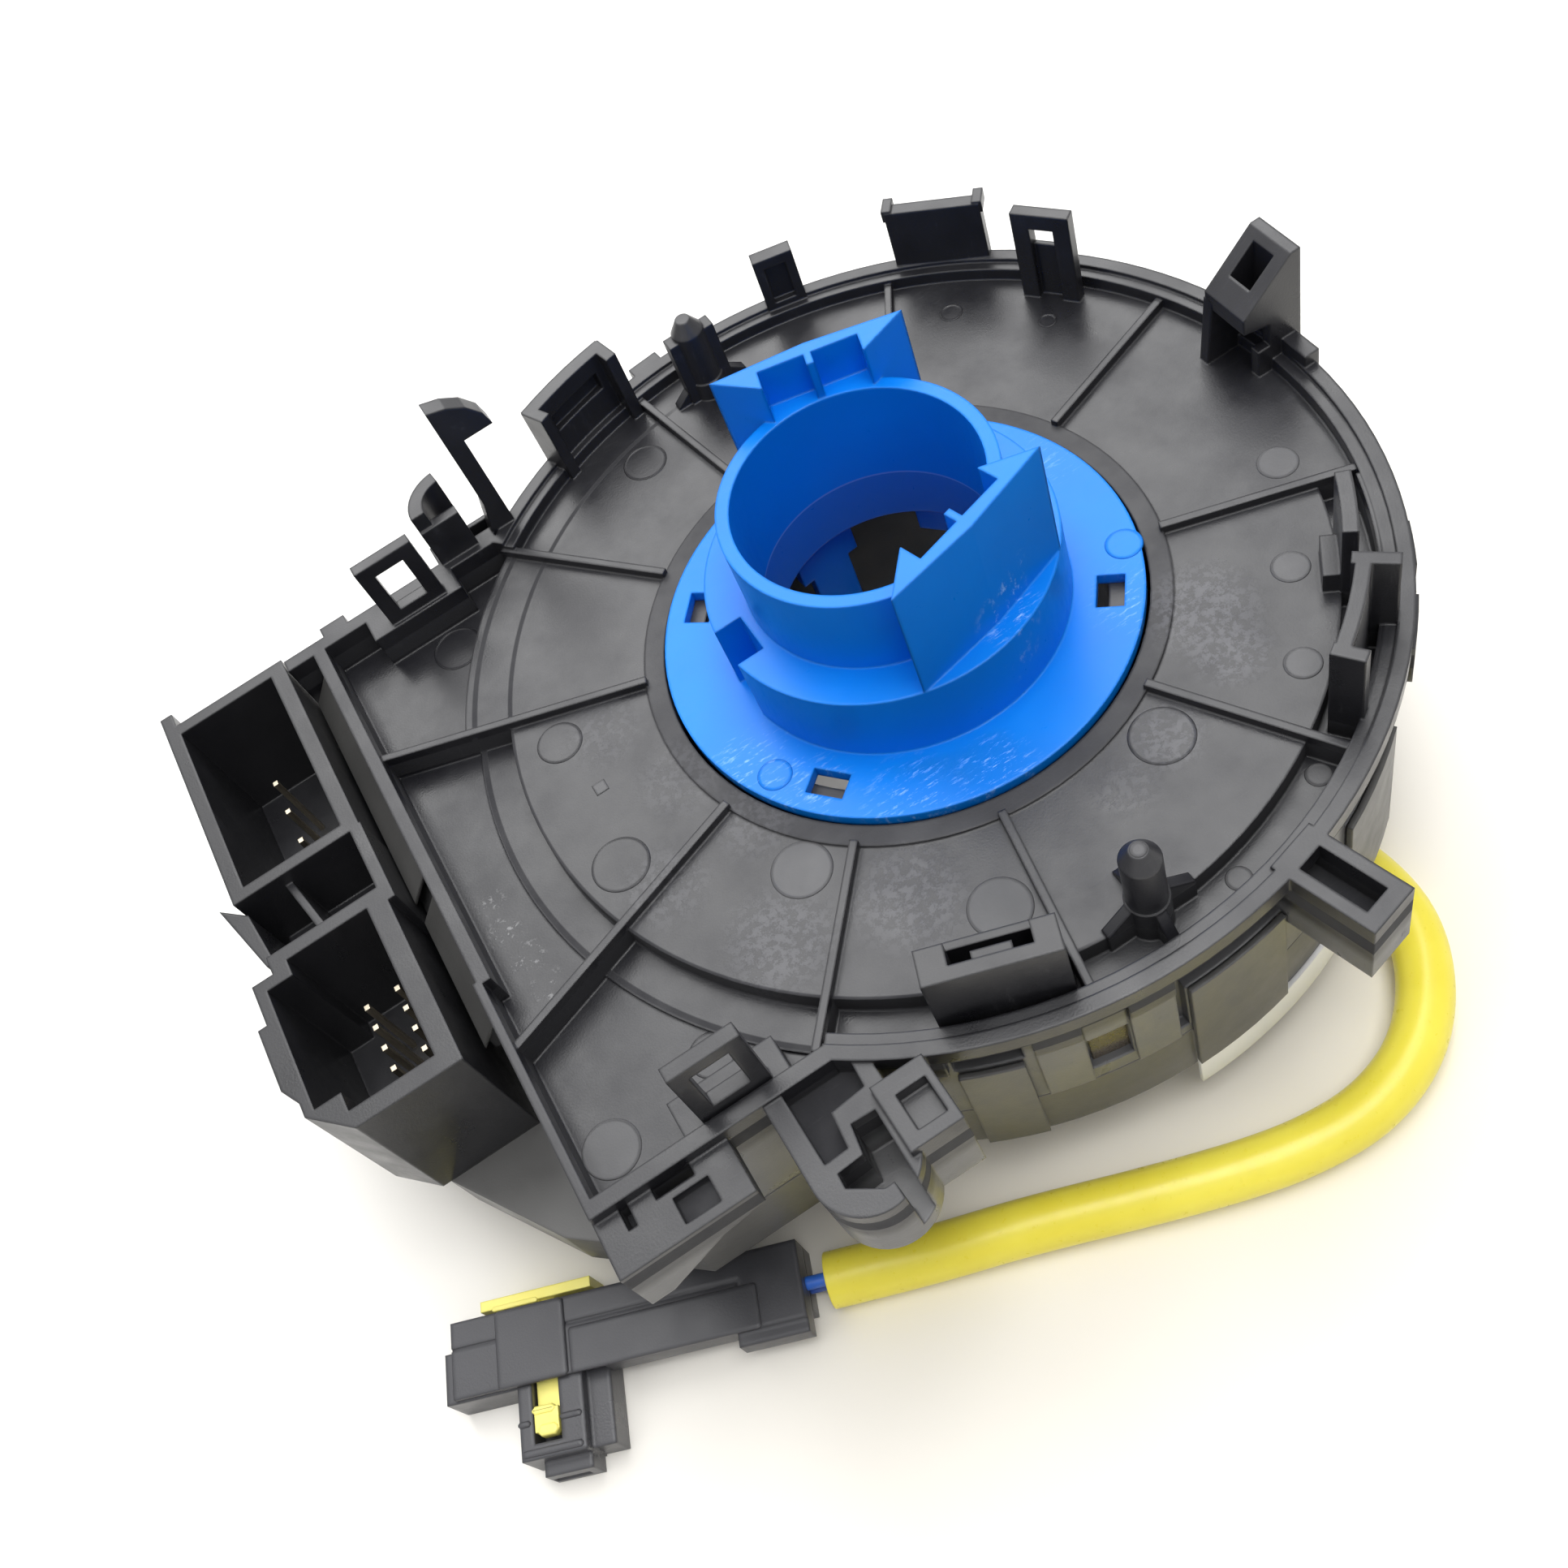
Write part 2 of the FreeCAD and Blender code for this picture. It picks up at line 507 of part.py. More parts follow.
def bay_clips():
    """Clips around the connector bay: two loops, the curved hook, the tall hook and a catch."""
    pieces = [
        loop_clip("top_loop", "90", "45.7", "39.7", "1.5", "7.6", "rim_top - 1", "rim_top + 9.9", "1.9"),
        loop_clip("low_loop", "-90", "-42.6", "40.0", "1.6", "7.8", "rim_top - 1", "rim_top + 10.6", "1.8"),
        block("tall_hook_post", "-32.3", "bay_top - 0.4", "rim_top - 6", "2.2", "2.2", "21"),
    ]
    rail = block("hook_rail", "-41.0", "bay_top - 0.2", "rim_top - 8", "10.8", "3.4", "8")
    rail_wells = [block("rail_well_a", "-39.2", "bay_top + 0.8", "rim_top - 6", "7.2", "1.8", "7"),
                  block("rail_well_b", "-38.9", "bay_top + 1.4", "rim_top - 6", "2.4", "6", "7")]
    head = wedge("tall_hook_head", [("-32.3", "rim_top + 14.4"), ("-26.2", "rim_top + 14.4"),
                                    ("-26.6", "rim_top + 16.4"), ("-28.0", "rim_top + 18.4"),
                                    ("-30.0", "rim_top + 19.7"), ("-32.3", "rim_top + 20.4")],
                 "2.2", "0", "bay_top + 0.7")
    flare = wedge("tall_hook_flare", [("-33.9", "rim_top - 3"), ("-30.2", "rim_top - 3"),
                                      ("-31.6", "rim_top + 5"), ("-32.2", "rim_top + 5")],
                  "2.2", "0", "bay_top + 0.7")
    quarter = doc.addObject("Part::MultiFuse", "curved_hook")
    quarter.Shapes = [
        ring("curved_hook_wall", "3.6", "5.4", "rim_top - 6", "rim_top + 8.4", "95", "85"),
        block("curved_hook_web", "-5.4", "-0.4", "rim_top - 6", "5.2", "1.4", "12"),
    ]
    # Its two members already stand at their levels, so only their place in plan is given here.
    put(quarter, "-35.2", "bay_top - 0.2", "flange_top")
    catch = wedge("outer_catch", [("-60.4", "rim_top - 1.5"), ("-60.4", "rim_top - 10.5"),
                                  ("-57.8", "rim_top - 10.5"), ("-50.6", "rim_top - 6.0"),
                                  ("-45.4", "rim_top - 4.6"), ("-45.4", "rim_top - 1.5")],
                  "6.4", "0", "-bay_low - 2.9")
    dent = block("outer_catch_dent", "-52.6", "-bay_low - 5.0", "rim_top - 2.9", "3.9", "2.9", "3")
    notch = block("outer_catch_notch", "-54.0", "-bay_low - 1.3", "rim_top - 6", "4.3", "1.6", "7")
    gap = block("outer_catch_gap", "-57.6", "-bay_low - 2.4", "rim_top - 4", "1.0", "2.6", "5")
    slope = wedge("bay_slope", [("-59.4", "rim_top - 4"), ("-63.3", "rim_top - 10"),
                                ("-63.3", "rim_top - 12"), ("-59.4", "rim_top - 12")],
                  "50", "0", "12")
    return pieces + [cut("hook_rail_hollow", rail, rail_wells), head, flare, quarter,
                     cut("outer_catch_cut", catch, [dent, notch, gap]), slope]


def screw_foot():
    """The rounded foot below the bay with a keyhole slot, and the pocketed block at its side."""
    low = "rim_top - 11.2"
    top = "rim_top - 0.5"
    plate = block("foot_plate", "-41.0", "-51.6", low, "11", "bay_low - 31.9", "10.7")
    round_end = drum("foot_end", "5.5", low, top, "-35.5", "-51.6")
    well = prism("foot_well", [("-38.9", "-42.0"), ("-33.2", "-41.8"), ("-31.7", "-42.9"),
                               ("-31.9", "-45.8"), ("-35.8", "-46.2"), ("-36.2", "-50.0"),
                               ("-38.8", "-50.1")],
                 "rim_top - 3.5", "rim_top + 1")
    slot = prism("foot_slot", [("-32.2", "-48.3"), ("-34.8", "-48.2"), ("-35.3", "-51.3"),
                               ("-38.2", "-51.5"), ("-38.3", "-53.1"), ("-35.3", "-55.1"),
                               ("-34.2", "-55.1"), ("-34.2", "-59.0"), ("-32.4", "-59.0")],
                 "rim_top - 9", "rim_top + 1")
    foot = cut("foot", fuse("foot_solid", [plate, round_end]), [well, slot])
    pad = block("pocket_block", "-31.6", "-54.2", low, "5.8", "7.4", "12.0")
    dimple = block("pocket_dimple", "-29.9", "-52.8", "rim_top - 1.0", "3.2", "4.0", "3")
    return [foot, cut("pocketed_block", pad, [dimple])]


def column_cover():
    pieces = cover_deck() + cover_bay() + locating_pins() + rim_hooks() + ramp_hook()
    pieces += front_block() + side_catches() + bay_clips() + screw_foot()
    whole = fuse("column_cover_solid", pieces)
    opening = drum("cover_opening", "opening_radius", "0", "rim_top + 30")
    keep(cut("column_cover_item", whole, [opening]), "column_cover")


def outer_case():
    """The wheel-side shell of the stator, with its floor ring, snap tongues and square end."""
    top = "seam_level - snap_gap"
    socket_low = "rim_top - socket_depth"
    wall = ring("case_wall", "skirt_radius - skirt_wall - 0.2", "skirt_radius", "case_bottom", top,
                "-rim_half_angle", "2 * rim_half_angle")
    floor = ring("case_floor_ring", "disc_radius + running_gap", "skirt_radius - 0.5", "case_bottom",
                 "case_bottom + case_floor")
    shell = prism("case_end", [("-bay_left - 7.2", "-32.7"), ("-bay_left + 4", "-bay_low"),
                               ("-33.2", "-bay_low"), ("-33.2", "bay_top"), ("-64.6", "bay_top"),
                               ("-bay_left - 16", "33"), ("-bay_left - 16", "-19")],
                  "case_bottom", socket_low)
    collar = prism("case_collar", [("-63.0", "-33.0"), ("-bay_left + 4", "-bay_low"),
                                   ("-33.0", "-bay_low"), ("-33.0", "bay_top"), ("-63.0", "bay_top")],
                   socket_low + " - 1", top)
    inside = prism("case_inside", [("-61.4", "-31.6"), ("-bay_left + 4.6", "-bay_low + 1.6"),
                                   ("-33", "-bay_low + 1.6"), ("-33", "bay_top - 1.6"),
                                   ("-61.4", "bay_top - 1.6")],
                   "case_bottom + case_floor", "seam_level + 1")
    hollow = drum("case_core", "skirt_radius - skirt_wall - 0.2", "case_bottom + case_floor",
                  "seam_level + 2")
    opening = drum("case_opening", "disc_radius + running_gap", "0", "seam_level")
    tongues = []
    for index, (start, sweep) in enumerate(((-116.8, 7.1), (-91.0, 13.0), (-65.8, 13.6))):
        tongues.append(ring("tongue_root_%d" % index, "skirt_radius - 0.6", "skirt_radius + tongue_out",
                            "case_bottom + 1", top, start, sweep))
        tongues.append(ring("tongue_%d" % index, "skirt_radius + snap_gap", "skirt_radius + tongue_out",
                            "seam_level - 1", "rim_top - 8", start, sweep))
    solid = fuse("case_solid", [wall, floor, shell, collar] + tongues)
    keep(cut("outer_case_item", solid, [inside, hollow, opening]), "outer_case")


def socket_block():
    """Both socket shells in one moulding, standing in the square end of the case."""
    top = "rim_top"
    low = "rim_top - socket_depth"
    upper = prism("upper_socket", [("-80.2", "14.2"), ("-63.6", "14.2"), ("-63.6", "43.6"),
                                   ("-78.6", "43.6"), ("-78.6", "45.8"), ("-80.2", "45.8")], low, top)
    upper_well = block("upper_well", "-78.4", "15.7", "rim_top - socket_depth + socket_floor", "12.8",
                       "26.3", "socket_depth")
    lower = prism("lower_socket", [("-77.0", "-19.4"), ("-64.3", "-19.4"), ("-64.3", "3"),
                                   ("-63.4", "3"), ("-63.4", "5.3"), ("-79", "5.3"), ("-79", "2.9"),
                                   ("-81.6", "2.9"), ("-81.6", "-2.5"), ("-82.7", "-2.5"),
                                   ("-82.7", "-10.7"), ("-81.4", "-13.2"), ("-81.4", "-15")], low, top)
    lower_well = prism("lower_well", [("-77", "-17.2"), ("-66.8", "-17.2"), ("-66.8", "3.6"),
                                      ("-77", "3.6"), ("-77", "1.4"), ("-80.2", "1.4"),
                                      ("-80.2", "-14.8"), ("-77", "-14.8")],
                       "rim_top - socket_depth + socket_floor", "rim_top + 1")
    teeth = [block("tooth_%d" % index, "-66.9", "tooth_pitch * %d - tooth_start" % index, low, "0.8", "1.2",
                   "socket_depth - 2") for index in range(6)]
    bridge = block("socket_bridge", "-79", "5", low, "15.6", "9.6", "10")
    spine = block("socket_spine", "-64.9", "3", low, "1.5", "11.6", "socket_depth")
    fin = prism("socket_fin", [("-82.3", "15.4"), ("-79.4", "12.6"), ("-78.6", "5"), ("-79.6", "5")],
                "rim_top - 14", "rim_top - 1")
    partition = prism("socket_partition", [("-74.6", "14.4"), ("-73.7", "14.4"), ("-71.9", "5.2"),
                                           ("-72.8", "5.2")], low, "rim_top - 2")
    solid = fuse("socket_solid", [upper, lower, bridge, spine, fin, partition])
    hollowed = cut("socket_hollowed", solid, [upper_well, lower_well])
    keep(fuse("socket_block_item", [hollowed] + teeth), "socket_block")


def terminals():
    """The socket pins: eight small ones in two rows, and three of the upper socket."""
    floor = "rim_top - socket_depth + socket_floor"
    signal = [("row_gap * %d - signal_row" % row, "signal_pitch * %d - signal_start" % column)
              for row in range(2) for column in range(4)]
    airbag = [("-airbag_row", "airbag_start + airbag_pitch * %d" % column) for column in range(3)]
    for label, places in (("signal_pins", signal), ("airbag_pins", airbag)):
        pins = []
        for index, (x, y) in enumerate(places):
            pins.append(block("%s_%d" % (label, index), "%s - terminal_width / 2" % x,
                              "%s - terminal_width / 2" % y, floor, "terminal_width",
                              "terminal_width", "terminal_rise"))
        group = doc.addObject("Part::Compound", label + "_item")
        group.Links = pins
        keep(group, label)


def lead_blocks():
    """The insert blocks that join the ribbon's two ends to the stator and the rotor."""
    outer = block("stator_block_body", "-ribbon_outer - 8.3", "-7", "case_bottom + case_floor",
                  "8.3 - ribbon_wall / 2 - 0.05", "14", "14")
    keep(outer, "stator_lead_block")
    inner = block("rotor_block_body", "drum_radius - drum_wall - 5.0", "-5", "case_bottom + disc_wall",
                  "4.5", "10", "9", 180)
    keep(inner, "rotor_lead_block")


def ribbon_edge(side):
    """One edge of the flat cable: half circles outward, the turn-back, half circles inward."""
    pitch = float(sheet.get("ribbon_pitch"))
    inner = float(sheet.get("ribbon_inner"))
    outer = float(sheet.get("rim_radius")) - float(sheet.get("ribbon_set"))
    shift = side * float(sheet.get("ribbon_wall")) / 2
    flat = FreeCAD.Vector
    arcs = []
    # The outer turns run from the stator's block at -X and tighten by half a pitch each half turn.
    left = -outer
    for half in range(4):
        sign = 1 if half % 2 == 0 else -1
        radius = outer - pitch * half / 2
        centre = left + sign * radius
        arcs.append((flat(left - sign * shift, 0, 0),
                     flat(centre, -sign * (radius + shift), 0),
                     flat(centre + sign * (radius + shift), 0, 0)))
        left = centre + sign * radius
    outer_end = left
    inner_radius = inner + 2 * pitch
    middle = (outer_end - inner_radius) / 2
    bend = (-outer_end - inner_radius) / 2
    arcs.append((flat(outer_end - shift, 0, 0), flat(middle, -(bend + shift), 0),
                 flat(middle + bend + shift, 0, 0)))
    left = middle + bend
    for half in range(4):
        sign = 1 if half % 2 == 0 else -1
        radius = inner_radius - pitch * half / 2
        centre = left + sign * radius
        arcs.append((flat(left + sign * shift, 0, 0), flat(centre, sign * (radius - shift), 0),
                     flat(centre + sign * (radius - shift), 0, 0)))
        left = centre + sign * radius
    return [Part.Arc(*points).toShape() for points in arcs]


def flat_cable():
    """The ribbon: two outer turns, the turn-back round the first roller, two inner turns."""
    outside = ribbon_edge(1)
    inside = ribbon_edge(-1)
    first = Part.makeLine(outside[0].Vertexes[0].Point, inside[0].Vertexes[0].Point)
    last = Part.makeLine(outside[-1].Vertexes[-1].Point, inside[-1].Vertexes[-1].Point)
    wire = Part.Wire(Part.__sortEdges__(outside + [last] + inside + [first]))
    low = float(sheet.get("ribbon_low")) - float(sheet.get("flange_top"))
    width = float(sheet.get("ribbon_width"))
    item = doc.addObject("Part::Feature", "flat_cable_item")
    item.Shape = Part.Face(wire).extrude(FreeCAD.Vector(0, 0, width))
    item.Placement.Base = FreeCAD.Vector(0, 0, low)
    keep(item, "flat_cable")


def carrier_and_rollers():
    """The ring that turns with the ribbon's turn-back, and six rollers on its spindles."""
    low = "carrier_low"
    ring_top = "carrier_low + carrier_wall"
    path = "(ribbon_inner + ribbon_outer) / 2"
    pieces = [ring("carrier_flat", "drum_radius + running_gap", "carrier_outer", low, ring_top)]
    for index in range(6):
        angle = 180 + 60 * index
        pieces.append(drum("spindle_%d" % index, "spindle_radius", low,
                           "%s + roller_height" % ring_top, path, "0", angle))
    keep(fuse("carrier_item", pieces), "cable_carrier")
    for index in range(6):
        angle = 180 + 60 * index
        outside = drum("roller_skin_%d" % index, "roller_radius", "%s + 0.1" % ring_top,
                       "%s + 0.1 + roller_height" % ring_top, path, "0", angle)
        bore = drum("roller_bore_%d" % index, "spindle_radius + shaft_gap", "0", "rim_top", path, "0", angle)
        keep(cut("roller_item_%d" % index, outside, [bore]), "roller_%d" % (index + 1))


def rotor_hub():
    """The wheel-side rotor: disc, cable drum and the neck that carries the cam."""
    flange_low = "flange_top - cam_flange_wall"
    disc_low = "case_bottom"
    disc_top = "case_bottom + disc_wall"
    section = [
        ("neck_radius - neck_wall", disc_low), ("disc_radius", disc_low),
        ("disc_radius", "case_bottom + case_floor + 0.3"),
        ("step_outer", "case_bottom + case_floor + 0.3"), ("step_outer", "step_top"),
        ("step_inner", "step_top"), ("step_inner", disc_top), ("drum_radius", disc_top),
        ("drum_radius", "deck_top - step_drop - deck_wall - running_gap"),
        ("drum_radius - drum_wall", "deck_top - step_drop - deck_wall - running_gap"),
        ("drum_radius - drum_wall", disc_top), ("neck_radius", disc_top),
        ("neck_radius", flange_low), ("neck_radius - neck_wall", flange_low),
    ]
    body = turned_body("rotor_turned", section)
    guide = block("lead_guide", "guide_face - guide_length", "guide_side", "0", "guide_length",
                  "guide_width", "case_bottom + 0.5", "guide_turn")
    keep(fuse("rotor_item", [body, guide]), "rotor_hub")


def wheel_sockets():
    """The sockets on the steering-wheel side, which also carry the unit on a flat surface."""
    for label, x, y, length, width, turn, pins in (
            ("switch_socket", "25", "-10", "13", "20", "180", 5),
            ("horn_socket", "24", "-6", "12", "12", "90", 2)):
        shell = block(label + "_shell", x, y, "0", length, width, "case_bottom", turn)
        well = block(label + "_well", "%s + 1.5" % x, "%s + 1.5" % y, "-1", "%s - 3" % length,
                     "%s - 3" % width, "case_bottom - 0.6", turn)
        keep(cut(label + "_item", shell, [well]), label)
        contacts = []
        for index in range(pins):
            spot = "%s + (%s) * %s" % (y, width, (index + 1) / (pins + 1))
            contacts.append(block("%s_pin_%d" % (label, index), "%s + (%s) / 2" % (x, length),
                                  "%s - terminal_width / 2" % spot, "3", "terminal_width",
                                  "terminal_width", "case_bottom - 4.6", turn))
        group = doc.addObject("Part::Compound", label + "_pins_item")
        group.Links = contacts
        keep(group, label.replace("socket", "pins"))


def cam_lobe(index, middle):
    """One lobe: a shallow wedge of plan whose top is hollowed to both sides of a rib."""
    face = "collar_radius * cos(lobe_half_angle)"
    half = "collar_radius * sin(lobe_half_angle)"
    outline = [("bore_radius - 0.6", "-(%s) * 0.53" % half), (face, "-(%s)" % half),
               ("(%s) + 0.7" % face, "0"), (face, half), ("bore_radius - 0.6", "(%s) * 0.53" % half)]
    lobe = prism("lobe_%d" % index, outline, "flange_top + collar_rise - 0.5",
                 "flange_top + lobe_rise", middle)
    pockets = [block("lobe_pocket_%d_%d" % (index, number), "0", low, "flange_top + tube_rise",
                     "(%s) + 0.4 - lobe_wall" % face, "(%s) * 0.48" % half, "lobe_rise", middle)
               for number, low in enumerate(("0.4", "-0.4 - (%s) * 0.48" % half))]
    inside = drum("lobe_inside_%d" % index, "bore_radius + 0.3", "flange_top", "flange_top + 40")
    return cut("lobe_hollow_%d" % index, lobe, pockets + [inside])


def cancel_cam():
    """The blue cam: flange, collar, tube, two lobes and the snap legs that hold the rotor."""
    flange_low = "flange_top - cam_flange_wall"
    tube_top = "flange_top + tube_rise"
    section = [
        ("bore_radius", "flange_top - 0.4"), ("bore_radius + cam_flange_wall - 0.4", flange_low),
        ("cam_flange_radius", flange_low),
        ("cam_flange_radius", "flange_top"), ("collar_radius", "flange_top"),
        ("collar_radius", "flange_top + collar_rise"), ("tube_radius", "flange_top + collar_rise"),
        ("tube_radius", tube_top), ("bore_radius", tube_top),
    ]
    notch = block("collar_notch", "collar_radius - 3.4", "-2.65", "flange_top", "4", "5.3",
                  "collar_rise + 1", 180)
    windows = [block("cam_window_%d" % index, "window_circle - 1.5", "-2.1", "flange_top - 5",
                     "3", "4.2", "6", angle) for index, angle in enumerate((140, -140, 37, -37))]
    pieces = [cut("cam_base", turned_body("cam_turned", section), [notch] + windows)]
    pieces += [cam_lobe(0, "lobe_angle"), cam_lobe(1, "-lobe_angle")]
    leg_face = "bore_radius + 1.3"
    for index, angle in enumerate((97, 217, -23)):
        pieces.append(block("leg_%d" % index, leg_face, "-2.6", "flange_top - leg_drop", "1.5", "5.2",
                            "leg_drop - 0.5", angle))
        pieces.append(block("leg_head_%d" % index, leg_face, "-4", "flange_top - 6", "1.5", "8", "5.5",
                            angle))
        pieces.append(wedge("toe_%d" % index, [(leg_face + " + 1.5", "flange_top - leg_drop"),
                                               (leg_face + " + 4.0", "flange_top - leg_drop + 3.4"),
                                               (leg_face + " + 1.5", "flange_top - leg_drop + 3.4")],
                            "5.2", angle))
    for index, angle in enumerate((40, 140, -40, -140)):
        pieces.append(block("stay_%d" % index, leg_face, "-3", "flange_top - 5.4", "1.2", "6", "5",
                            angle))
    keep(fuse("cam_item", pieces), "cancel_cam")


def slip_films():
    """A thin film under the cover's outer ring, which the ribbon's outer turns slide on."""
    ceiling = "deck_top - step_drop - deck_wall"
    keep(ring("upper_film_item", "step_radius - 1.3", "skirt_radius - skirt_wall - 0.4",
              "%s - film_wall" % ceiling, ceiling), "upper_slip_film")


def centring_label():
    """The white strip on the outside of the case wall at the front, hanging below its edge."""
    keep(ring("label_item", "skirt_radius", "skirt_radius + 0.5", "case_bottom - 5.0",
              "case_bottom + 0.9", "-91.0", "27"), "centring_label")


def turned(x, y, degrees):
    angle = math.radians(degrees)
    return (x * math.cos(angle) - y * math.sin(angle), x * math.sin(angle) + y * math.cos(angle))


def sleeve_route():
    """The centre line of the lead: out of the guide, down beside it and round to the plug."""
    lay = float(sheet.get("sleeve_radius")) + 0.1 - float(sheet.get("flange_top"))
    guide_turn = float(sheet.get("guide_turn"))
    guide_face = float(sheet.get("guide_face"))
    middle = float(sheet.get("guide_side")) + float(sheet.get("guide_width")) / 2
    begin = turned(guide_face, middle, guide_turn)
    second = turned(guide_face + 6.5, middle, guide_turn)
    lead_end = float(sheet.get("lead_end"))
    lead_line = float(sheet.get("lead_line"))
    plug_turn = float(sheet.get("plug_turn"))
    last = turned(10.4 - lead_end, -lead_line, plug_turn)
    end = turned(-lead_end, -lead_line, plug_turn)
    between = [(30.0, -43.7), (29.4, -50.6), (25.6, -57.2), (19.8, -62.1), (12.4, -64.4),
               (4.6, -64.0), (-3.2, -62.1), (-14.0, -58.4), (-25.6, -54.1)]
    return [(x, y, lay) for x, y in [begin, second] + between + [last, end]]


def tube_along(points, radius, label):
    """A round tube on straight runs joined by tangent arcs, with its volume checked."""
    corners = [FreeCAD.Vector(*point) for point in points]
    edges = []
    begin = corners[0]
    radii = []
    for before, here, after in zip(corners, corners[1:], corners[2:]):
        into = (here - before).normalize()
        away = (after - here).normalize()
        turn = into.getAngle(away)
        reach = 0.45 * min((here - before).Length, (after - here).Length)
        size = reach / math.tan(turn / 2)
        radii.append(round(size, 1))
        start = here - into * reach
        finish = here + away * reach
        middle = here + (away - into).normalize() * (size / math.cos(turn / 2) - size)
        edges.append(Part.LineSegment(begin, start).toShape())
        edges.append(Part.Arc(start, middle, finish).toShape())
        begin = finish
    edges.append(Part.LineSegment(begin, corners[-1]).toShape())
    path = Part.Wire(edges)
    heading = (corners[1] - corners[0]).normalize()
    section = Part.Wire(Part.Circle(corners[0], heading, radius).toShape())
    item = doc.addObject("Part::Feature", label + "_item")
    item.Shape = path.makePipeShell([section], True, False)
    wanted = math.pi * radius * radius * path.Length
    print(label, "length", round(path.Length, 1), "radii", radii,
          "volume", round(item.Shape.Volume), "of", round(wanted))
    keep(item, label)


def airbag_lead():
    tube_along(sleeve_route(), float(sheet.get("sleeve_radius")), "airbag_sleeve")
    for label, side in (("airbag_wire_a", "0.85"), ("airbag_wire_b", "-0.85")):
        item = doc.addObject("Part::Cylinder", label + "_item")
        bind(item, Radius="wire_radius", Height="-lead_end - plug_left - plug_length")
        put(item, "lead_line", "-lead_end", "sleeve_radius + 0.1 + %s" % side, "plug_turn - 90", "90")
        keep(item, label)


def plug():
    """The airbag plug: body with its nose, cover, lock, ferrite and contacts."""
    turn = "plug_turn"
    half = "plug_height / 2"
    far = "plug_left + plug_length"
    body = block("plug_tray", "plug_left", "plug_edge + tray_back", "0.1", "plug_length",
                 "plug_width - tray_back", "(%s) - 0.1" % half, turn)
    bulge = block("plug_bulge", "plug_left - 1.2", "plug_edge - 0.2", "0.1", "9", "5.6",
                  "plug_height - 1.0", turn)
    nose = block("plug_nose", "plug_left + 7.4", "plug_edge - nose_reach + 1.6", "0.1", "7.6",
                 "nose_reach + 1.4", "plug_height - 0.7", turn)
    tip = block("plug_nose_tip", "plug_left + 9.2", "plug_edge - nose_reach", "0.1", "5.6",
                "nose_reach", "plug_height - 2.6", turn)
    rail = block("plug_rail", "plug_left + 14.9", "plug_edge - nose_reach + 1.8", "0.1", "2.9",
                 "nose_reach + 0.2", "plug_height - 2.2", turn)
    tray_well = block("tray_well", "plug_left + 17", "plug_edge + tray_back + 1.2", "1.1",
                      "plug_length - 19", "plug_width - tray_back - 2.4", "plug_height", turn)
    lock_way = block("lock_way", "plug_left + 9.0", "plug_edge - nose_reach + 3.2",
                     "(%s) - 0.7" % half, "3.2", "plug_width + nose_reach", "4.6", turn)
    contact_way = block("contact_way", "plug_left + 9.4", "plug_edge - nose_reach - 1", "1.0",
                        "4.2", "nose_reach - 1.5", "1.2", turn)
    solid = fuse("plug_solid", [body, bulge, nose, tip, rail])
    keep(cut("plug_body_item", solid, [tray_well, lock_way, contact_way]), "plug_body")
    top = block("cover_slab", "plug_left", "plug_edge", "(%s) + 0.05" % half, "plug_length",
                "plug_width", "plug_height - (%s) - 0.05" % half, turn)
    foot = block("cover_foot", far + " - 8.0", "plug_edge - 1.5", "(%s) + 0.05" % half, "8.0",
                 "3", "plug_height - (%s) - 0.45" % half, turn)
    nose_room = block("nose_room", "plug_left + 7.35", "plug_edge - 1", "0", "10.5", "4.1",
                      "plug_height - 0.55", turn)
    bulge_room = block("bulge_room", "plug_left - 2", "plug_edge - 1", "0", "9.9", "6.5",
                       "plug_height - 0.85", turn)
    cover_well = block("cover_well", "plug_left + 17", "plug_edge + 1.2", "0", "plug_length - 19",
                       "plug_width - 2.4", "plug_height - 0.9", turn)
    cover_way = block("cover_way", "plug_left + 8.9", "plug_edge - 2", "0", "3.4", "plug_width + 4",
                      "(%s) + 1.5" % half, turn)
    line_a = block("cover_line_a", "plug_left - 1", "plug_edge + 5.3", "plug_height - 0.25",
                   "plug_length - 6.0", "0.35", "1", turn)
    line_b = block("cover_line_b", far + " - 7.4", "plug_edge - 1", "plug_height - 0.25",
                   "0.35", "6.6", "1", turn)
    shell = fuse("cover_solid", [top, foot])
    keep(cut("plug_cover_item", shell, [nose_room, bulge_room, cover_well, cover_way, line_a, line_b]),
         "plug_cover")
    plate = block("lock_plate", "plug_left + 3.4", "plug_edge + plug_width + lock_travel", "0.9",
                  "13.4", "1.2", "plug_height - 1.8", turn)
    arm = block("lock_arm", "plug_left + 9.2", "plug_edge - nose_reach + 3.6 + lock_travel",
                "(%s) - 0.6" % half, "2.8", "nose_reach + plug_width - 3.2", "2.0", turn)
    latch = block("lock_latch", "plug_left + 9.2", "plug_edge - nose_reach + 3.6 + lock_travel",
                  half, "2.8", "2.4", "plug_height - (%s) - 0.5" % half, turn)
    keep(fuse("plug_lock_item", [plate, arm, latch]), "plug_lock")
    ferrite = block("ferrite_core", "plug_left + 19", "plug_edge + tray_back + 1.4", "1.1", "11",
                    "plug_width - tray_back - 2.8", "plug_height - 2.2", turn)
    keep(ferrite, "plug_ferrite")
    contacts = [block("contact_%d" % index, "plug_left + %s" % (9.8 + 2.2 * index),
                      "plug_edge - nose_reach + 0.5", "1.1", "1.2", "nose_reach - 3.0", "0.9", turn)
                for index in range(2)]
    group = doc.addObject("Part::Compound", "plug_contacts_item")
    group.Links = contacts
    keep(group, "plug_contacts")


